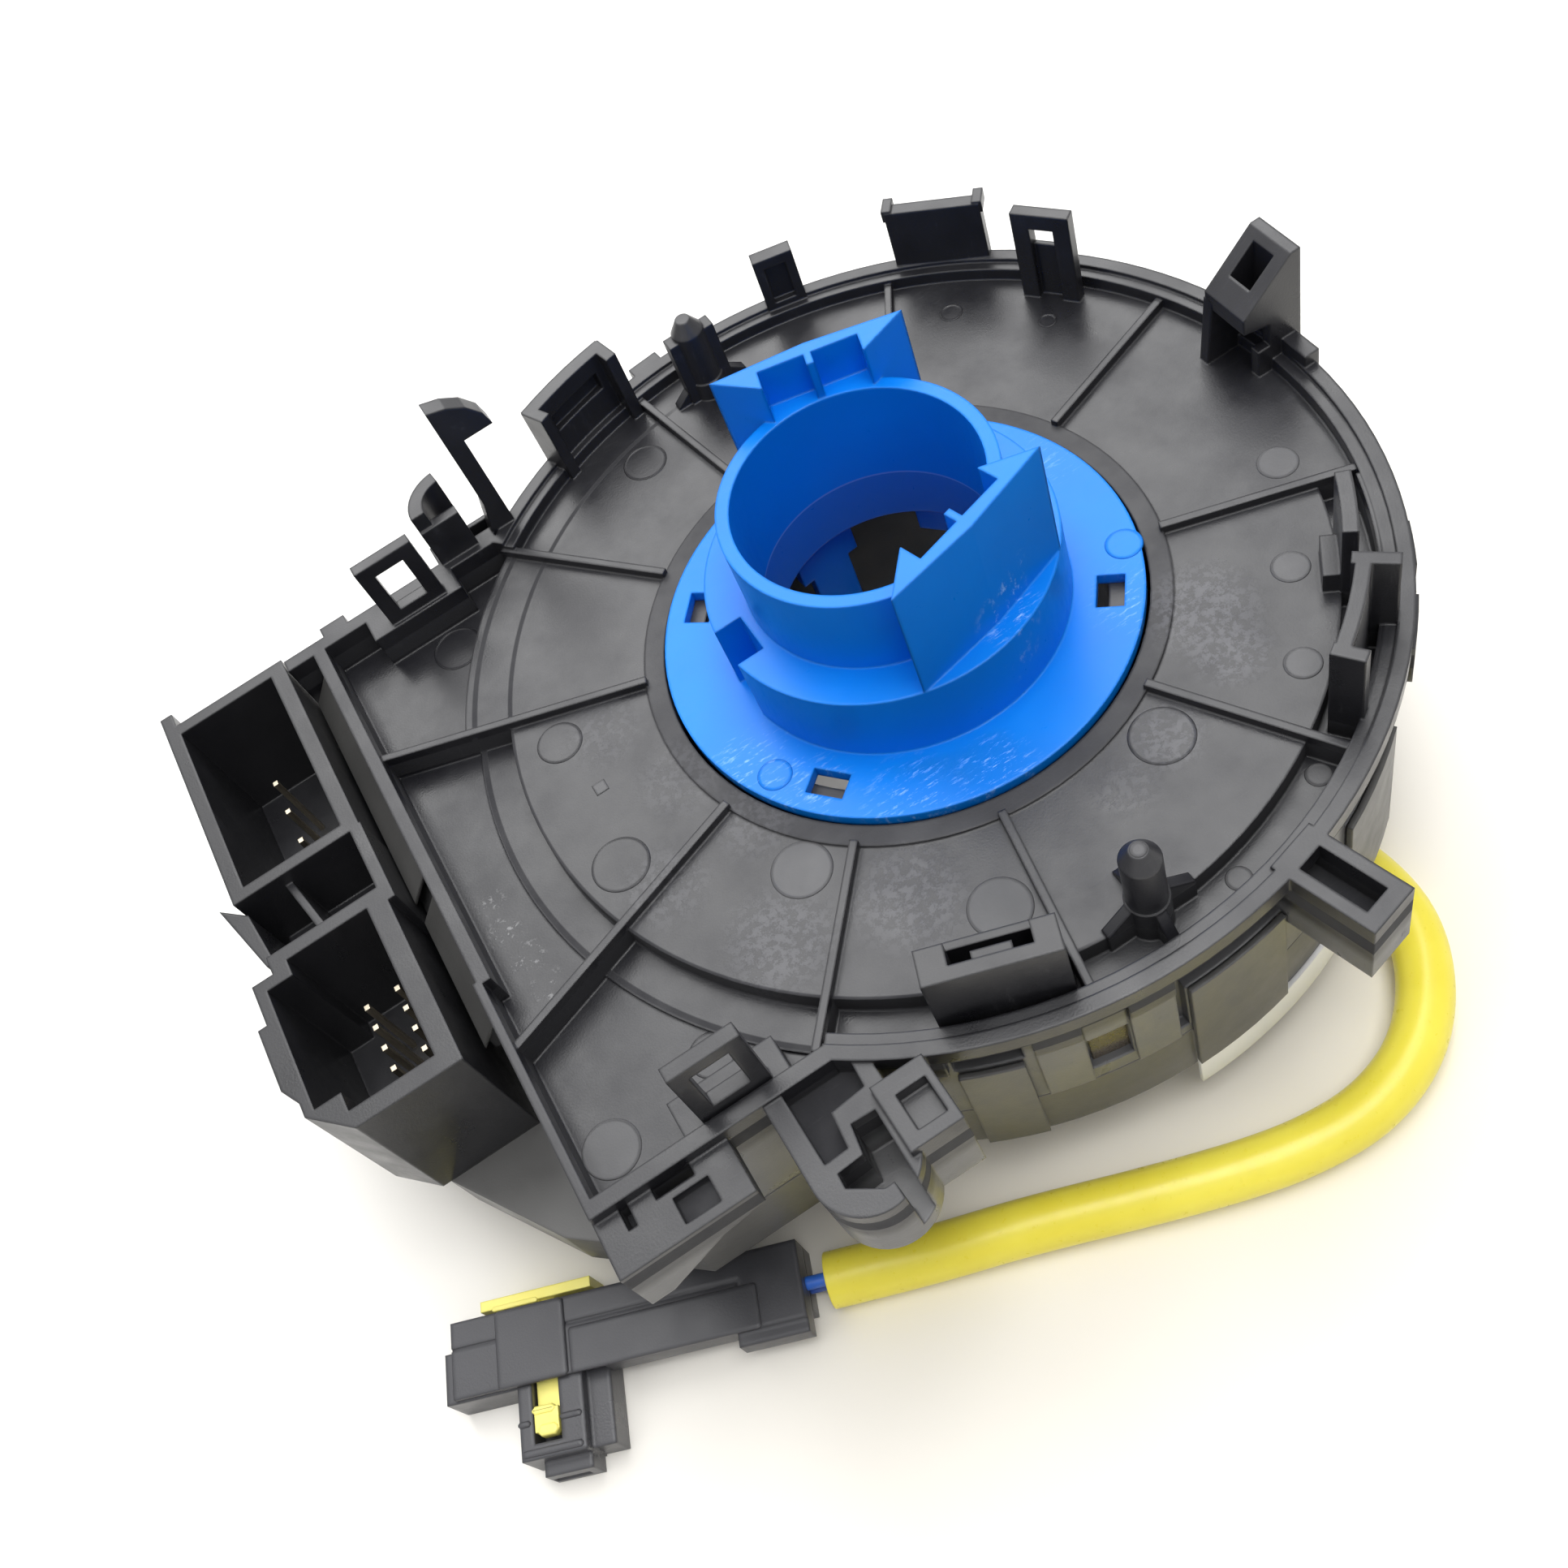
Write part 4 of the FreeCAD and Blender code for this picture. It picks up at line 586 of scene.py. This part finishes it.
# %% The sleeve as a smooth curve
SLEEVE_RADIUS = 3.1 * MM
LAY = TABLE_LEVEL + 3.2 * MM  # the axis, one radius and a hair above the table
SLEEVE_ROUTE = ((25.0, -30.9), (28.35, -36.5), (30.0, -43.7), (29.4, -50.6), (25.6, -57.2),
                (19.8, -62.1), (12.4, -64.4), (4.6, -64.0), (-3.2, -62.1), (-14.0, -58.4),
                (-25.6, -54.1), (-37.05, -50.59), (-46.8, -46.98))


def smooth_lead(name, route, level, radius, finish):
    """A round lead on one open spline with its ends on the first and last route points."""
    data = bpy.data.curves.new(name, "CURVE")
    data.dimensions = "3D"
    data.bevel_depth = radius
    data.bevel_resolution = 10
    data.resolution_u = 12
    data.use_fill_caps = True
    spline = data.splines.new("NURBS")
    spline.points.add(len(route) - 1)
    for point, (x, y) in zip(spline.points, route):
        point.co = (x * MM, y * MM, level, 1.0)
    spline.order_u = 3
    spline.use_endpoint_u = True
    data.materials.append(finish)
    piece = bpy.data.objects.new(name, data)
    bpy.context.scene.collection.objects.link(piece)
    return piece


sleeve = smooth_lead("airbag_lead", SLEEVE_ROUTE, LAY, SLEEVE_RADIUS, sleeve_finish)
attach(sleeve, "rotor")
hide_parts("airbag_sleeve")
lead_length = sum((Vector(b) - Vector(a)).length for a, b in zip(SLEEVE_ROUTE, SLEEVE_ROUTE[1:]))
print("lead route runs add up to", round(lead_length, 1), "mm")

# %% [markdown]
# ## Mesh helper
# Small moulded details are shaped with bmesh operators, then linked as one object at the
# origin, so that their patterns and the export agree on where they are. The helper also says
# which body the piece rides on.

# %% Helper that links a finished mesh


def link_mesh(name, mesh, finish, body):
    mesh.normal_update()
    bmesh.ops.recalc_face_normals(mesh, faces=mesh.faces)
    data = bpy.data.meshes.new(name)
    mesh.to_mesh(data)
    mesh.free()
    for face in data.polygons:
        face.use_smooth = False
    data.materials.append(finish)
    piece = bpy.data.objects.new(name, data)
    bpy.context.scene.collection.objects.link(piece)
    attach(piece, body)
    return piece


print("mesh helper is ready")

# %% [markdown]
# ## Ejector marks
# Ejector pins push a moulding out of its tool and leave shallow round marks. On this cover
# they are the only ornament of the flat deck. Each is a thin cone with an inset lid, whose
# rim catches a line of light as the real step does. Some are frosted and paler than the deck,
# and two more stand on the cam's flange.

# %% Round marks on the deck, the bay floor and the flange
DECK = -1.1
RING_FLOOR = -3.6
BAY_FLOOR = -4.0
FLANGE = 0.0
CLEAR_MARKS = (
    # place in plan, radius and level of the floor under the mark
    (-40.8, -8.5, 3.4, DECK), (-39.7, 10.2, 2.8, DECK), (-12.6, 40.9, 2.9, DECK),
    (29.2, 34.4, 1.5, DECK), (36.9, 24.6, 1.2, DECK), (12.3, -31.4, 3.5, DECK),
    (-42.9, -32.0, 2.6, BAY_FLOOR), (-44.6, 34.0, 3.2, BAY_FLOOR),
)
FROSTED_MARKS = (
    (-25.2, -21.4, 3.4, DECK), (-11.3, -37.4, 3.4, DECK), (42.5, -11.2, 2.3, DECK),
    (34.7, -23.1, 2.1, DECK), (28.1, -33.3, 2.0, DECK), (-56.1, -34.6, 3.2, BAY_FLOOR),
    (22.0, -43.2, 1.4, RING_FLOOR), (9.1, -47.6, 1.4, RING_FLOOR),
)
FLANGE_MARKS = ((-21.9, -10.4, 2.0, FLANGE), (23.3, -9.9, 2.1, FLANGE))
MARK_HEIGHT = 0.1
MARK_SLOPE = 0.12
MARK_LIFT = 0.02
LID_INSET = 0.14
LID_DEPTH = 0.03


def round_marks(name, marks, finish, body):
    """Thin round marks, each a flat cone whose lid is sunk a little."""
    mesh = bmesh.new()
    for x, y, radius, level in marks:
        place = Matrix.Translation(Vector((x, y, level + MARK_LIFT)) * MM)
        made = bmesh.ops.create_cone(mesh, cap_ends=True, segments=48, radius1=radius * MM,
                                     radius2=(radius - MARK_SLOPE) * MM, depth=MARK_HEIGHT * MM,
                                     matrix=place)
        lids = {face for vert in made["verts"] for face in vert.link_faces if face.normal.z > 0.9}
        bmesh.ops.inset_region(mesh, faces=list(lids), thickness=LID_INSET * MM,
                               depth=-LID_DEPTH * MM)
    return link_mesh(name, mesh, finish, body)


round_marks("clear_marks", CLEAR_MARKS, cover_finish, "stator")
round_marks("frosted_marks", FROSTED_MARKS, frosted_finish, "stator")
round_marks("flange_marks", FLANGE_MARKS, cam_finish, "rotor")
print("round marks:", len(CLEAR_MARKS) + len(FROSTED_MARKS) + len(FLANGE_MARKS))

# %% [markdown]
# ## Thin plates
# Many small details are flat plates. An outline in plan is extruded, and a bevel softens the
# edges that the eye sees.

# %% Helper for a thin plate
PLATE_EDGE = 0.08


def raise_plate(mesh, corners, lift):
    """Extrudes an outline by a vector, and returns the new vertices."""
    face = mesh.faces.new([mesh.verts.new(corner) for corner in corners])
    raised = bmesh.ops.extrude_face_region(mesh, geom=[face])["geom"]
    moved = [item for item in raised if isinstance(item, bmesh.types.BMVert)]
    bmesh.ops.translate(mesh, verts=moved, vec=lift)
    return moved


def soften(mesh, edges, width):
    bmesh.ops.bevel(mesh, geom=edges, offset=width * MM, segments=2, profile=0.5, affect="EDGES",
                    material=-1)


def thin_plate(name, corners, level, thickness, finish, body, edge=PLATE_EDGE):
    """A flat plate from an outline in plan, with its upper edges bevelled."""
    mesh = bmesh.new()
    outline = [Vector((x, y, level)) * MM for x, y in corners]
    lifted = raise_plate(mesh, outline, Vector((0, 0, thickness)) * MM)
    soften(mesh, [item for item in mesh.edges if all(vert in lifted for vert in item.verts)], edge)
    return link_mesh(name, mesh, finish, body)


print("plate helper is ready")

# %% [markdown]
# ## Gate mark, pin tip and thin web
# A square gate mark stands on the deck, where the plastic entered the mould. The front pin's
# flat tip gets a paler frosted disc, a painted highlight where its top catches the light. The
# catch in the front wall is closed by a thin brown web, where the wall is so thin that light
# comes through. The web is an upright line spun about the rotor's axis and given a wall.

# %% Gate mark, pin tip and thin web
GATE_CORNERS = ((-39.2, 0.9), (-37.6, 0.9), (-37.6, 2.5), (-39.2, 2.5))
GATE_SUNK = 0.02
GATE_HEIGHT = 0.1
# painted highlight: a paler disc on the front pin's flat tip
PIN_TIP_HIGHLIGHT = (0.0, -46.0, 0.85, 10.7)
WEB_RADIUS = 51.35
WEB_THICKNESS = 0.15
WEB_HEIGHTS = (-15.4, -6.9)
WEB_START = -102.6
WEB_SWEEP = 4.6


def curved_web(name, finish, body):
    """A thin wall bent about the rotor's axis."""
    mesh = bmesh.new()
    angle = math.radians(WEB_START)
    low, high = WEB_HEIGHTS
    foot = Vector((WEB_RADIUS * math.cos(angle), WEB_RADIUS * math.sin(angle), low)) * MM
    ends = [mesh.verts.new(foot), mesh.verts.new(foot + Vector((0, 0, (high - low) * MM)))]
    line = mesh.edges.new(ends)
    bmesh.ops.spin(mesh, geom=ends + [line], cent=(0, 0, 0), axis=(0, 0, 1),
                   angle=math.radians(WEB_SWEEP), steps=10, use_duplicate=False)
    mesh.normal_update()
    bmesh.ops.solidify(mesh, geom=list(mesh.faces), thickness=WEB_THICKNESS * MM)
    return link_mesh(name, mesh, finish, body)


thin_plate("gate_mark", GATE_CORNERS, DECK - GATE_SUNK, GATE_HEIGHT, frosted_finish, "stator")
# painted highlight on the pin's flat tip
round_marks("pin_tip_highlight", [PIN_TIP_HIGHLIGHT], frosted_finish, "stator")
curved_web("thin_web", window_finish, "stator")
print("gate mark, pin tip and web are in place")

# %% [markdown]
# ## Panels beside the sockets
# Between the sockets and the bay's wall the cover falls away in plain sloping panels. Each is
# a tilted rectangle that gets its thickness downwards, so its upper face keeps its place.

# %% Sloping panels
SLOPE_TOP = (-59.7, -1.3)
SLOPE_FOOT = (-63.3, -5.6)
SLOPE_THICKNESS = 0.5
SLOPE_EDGE = 0.1


def slope_panel(name, low_y, high_y):
    mesh = bmesh.new()
    (top_x, top_z), (foot_x, foot_z) = SLOPE_TOP, SLOPE_FOOT
    corners = [(top_x, low_y, top_z), (top_x, high_y, top_z), (foot_x, high_y, foot_z),
               (foot_x, low_y, foot_z)]
    lowered = raise_plate(mesh, [Vector(corner) * MM for corner in corners],
                          Vector((0, 0, -SLOPE_THICKNESS)) * MM)
    soften(mesh, [item for item in mesh.edges if all(vert not in lowered for vert in item.verts)],
           SLOPE_EDGE)
    return link_mesh(name, mesh, case_finish, "stator")


slope_panel("slope_panel_upper", 5.6, 40.5)
slope_panel("slope_panel_lower", -15.5, 2.6)
print("sloping panels: 2")

# %% [markdown]
# ## Details of the plug
# The plug lies turned on the table, so its details are drawn in its own frame: u runs along
# it towards the lead and v across it. It gets a raised saddle over the nose, a raised lower
# panel, a dimple in its end block and ridges across the nose. The yellow lock gets the two
# steps of its latch and the rail under its plate.

# %% Plates in the plug's own frame
PLUG_TURN = math.radians(-20.3)
PLUG_TOP = -32.0
CORNER_CUT = 0.5
PLUG_PLATES = (
    # name, corners in the plug's frame, depth of the foot under the plug's top, height and edge
    ("plug_saddle", (-66.0, -64.55, -57.6, -55.85), 0.1, 0.45, 0.3),
    ("plug_panel", (-57.3, -64.5, -35.2, -59.5), 0.1, 0.35, 0.15),
    ("nose_ridge_left", (-64.2, -68.9, -62.7, -68.2), 0.9, 0.5, 0.15),
    ("nose_ridge_right", (-59.3, -68.9, -56.7, -68.2), 0.9, 0.5, 0.15),
    ("nose_ridge_lower", (-63.9, -72.1, -56.8, -71.3), 0.9, 0.5, 0.15),
)
LOCK_PLATES = (
    ("latch_step_upper", (-62.5, -67.9, -59.7, -66.9), 1.6, 1.3, 0.3),
    ("latch_step_lower", (-61.9, -70.2, -59.5, -68.9), 1.6, 1.3, 0.3),
    ("plate_rail", (-66.6, -55.5, -61.0, -54.9), 1.6, 0.9, 0.1),
)
DIMPLE_PLACE = (-69.1, -62.1)
DIMPLE_RADIUS = 0.8
DIMPLE_DEPTH = 0.9


def plug_point(u, v):
    """A point of the plug's frame, turned into the model's frame."""
    cosine, sine = math.cos(PLUG_TURN), math.sin(PLUG_TURN)
    return u * cosine - v * sine, u * sine + v * cosine


def plug_corners(low_u, low_v, high_u, high_v, cut):
    """A rectangle of the plug's frame with cut corners."""
    flat = [(low_u + cut, low_v), (high_u - cut, low_v), (high_u, low_v + cut), (high_u, high_v - cut),
            (high_u - cut, high_v), (low_u + cut, high_v), (low_u, high_v - cut), (low_u, low_v + cut)]
    return [plug_point(u, v) for u, v in flat]


def place_plates(plates, finish, body):
    for name, corners, depth, height, edge in plates:
        outline = plug_corners(*corners, min(CORNER_CUT, edge + 0.1))
        thin_plate(name, outline, PLUG_TOP - depth, height, finish, body, edge)


place_plates(PLUG_PLATES, plug_finish, "rotor")
place_plates(LOCK_PLATES, lock_finish, "lock")
round_marks("plug_dimple", [(*plug_point(*DIMPLE_PLACE), DIMPLE_RADIUS, PLUG_TOP - DIMPLE_DEPTH)],
            frosted_finish, "rotor")
print("plug plates:", len(PLUG_PLATES), "lock plates:", len(LOCK_PLATES))

# %% [markdown]
# ## Table
# The unit lies on a plain pale table, which keeps its shadow. Close to the unit the table's
# colour is a painted shadow, warmer and darker, tinted by painted light thrown off the
# yellow lead, and a slow noise keeps it from looking printed.

# %% Table
TABLE_HALF = 0.6
TABLE_DROP = 0.00005
TABLE_TONES = ((0.90, 0.892, 0.87), (0.92, 0.912, 0.89))
# painted shadow round the unit, warmed by painted yellow light off the lead
PAINTED_SHADOW_TONE = (0.86, 0.81, 0.71)
PAINTED_SHADOW_CENTRE = (-5.0, -40.0, 0.0)
PAINTED_SHADOW_REACH = (35.0, 135.0)
PAINTED_SHADOW_STRENGTH = 0.85


def pale_table():
    mesh = bmesh.new()
    bmesh.ops.create_grid(mesh, x_segments=1, y_segments=1, size=TABLE_HALF,
                          matrix=Matrix.Translation((0, 0, TABLE_LEVEL - TABLE_DROP)))
    data = bpy.data.meshes.new("table")
    mesh.to_mesh(data)
    mesh.free()
    material, shader = start_material("table_white", (0.93, 0.925, 0.90), 0.7)
    place = object_place(material)
    plain = blend_colours(material, noise(material, place, 6.0, 2.0), *TABLE_TONES)
    # painted shadow: a warmer, darker table colour near the unit
    painted_shadow = times(material, near(material, place, PAINTED_SHADOW_CENTRE, *PAINTED_SHADOW_REACH), PAINTED_SHADOW_STRENGTH)
    join(material, blend_colours(material, painted_shadow, plain, PAINTED_SHADOW_TONE), shader.inputs["Base Color"])
    data.materials.append(material)
    table = bpy.data.objects.new("table", data)
    bpy.context.scene.collection.objects.link(table)


pale_table()
print("table is", 2 * TABLE_HALF, "m wide")

# %% [markdown]
# ## Lamps
# Soft light from large square lamps stands in for the room's windows. The one behind gives the
# long soft sheen on the deck, the one overhead lights the cam and the lead, and two weak ones
# open the shadows on the left and in front.

# %% Lamps
LAMPS = (
    # name, place in metres, size and watts
    ("window_back", (0.16, 0.62, 0.82), 1.0, 11.5),
    ("overhead", (0.12, -0.16, 1.1), 0.7, 9.2),
    ("window_left", (-0.75, -0.05, 0.75), 0.7, 1.8),
    ("fill_front", (0.15, -0.75, 0.8), 0.9, 1.6),
)
for name, place, size, power in LAMPS:
    lamp_data = bpy.data.lights.new(name, "AREA")
    lamp_data.shape = "SQUARE"
    lamp_data.size = size
    lamp_data.energy = power
    lamp = bpy.data.objects.new(name, lamp_data)
    lamp.location = place
    lamp.rotation_euler = (-Vector(place)).to_track_quat("-Z", "Y").to_euler()
    bpy.context.scene.collection.objects.link(lamp)
print("lamps:", len(LAMPS))

# %% [markdown]
# ## World and background
# The world lights the object a little from all sides. Rays from the camera, and rays that
# mirror off or pass through a surface, see plain white instead. So the background is white
# and the gloss reflects it, while the soft light on the object stays weak.

# %% World and background
WORLD_LIGHT = 0.22
WHITE = (1.0, 1.0, 1.0, 1.0)
world = bpy.data.worlds.new("studio")
bpy.context.scene.world = world
world.use_nodes = True
world_nodes, world_links = world.node_tree.nodes, world.node_tree.links
sky = world_nodes["Background"]
bright = world_nodes.new("ShaderNodeBackground")
for background, strength in ((sky, WORLD_LIGHT), (bright, 1.0)):
    background.inputs["Color"].default_value = WHITE
    background.inputs["Strength"].default_value = strength
path = world_nodes.new("ShaderNodeLightPath")
seen = path.outputs["Is Camera Ray"]
for kind in ("Is Glossy Ray", "Is Transmission Ray"):
    either = world_nodes.new("ShaderNodeMath")
    either.operation = "MAXIMUM"
    world_links.new(seen, either.inputs[0])
    world_links.new(path.outputs[kind], either.inputs[1])
    seen = either.outputs[0]
blend = world_nodes.new("ShaderNodeMixShader")
world_links.new(seen, blend.inputs[0])
world_links.new(sky.outputs[0], blend.inputs[1])
world_links.new(bright.outputs[0], blend.inputs[2])
world_links.new(blend.outputs[0], world_nodes["World Output"].inputs[0])
bpy.context.scene.view_settings.view_transform = "Standard"
print("world light:", WORLD_LIGHT)
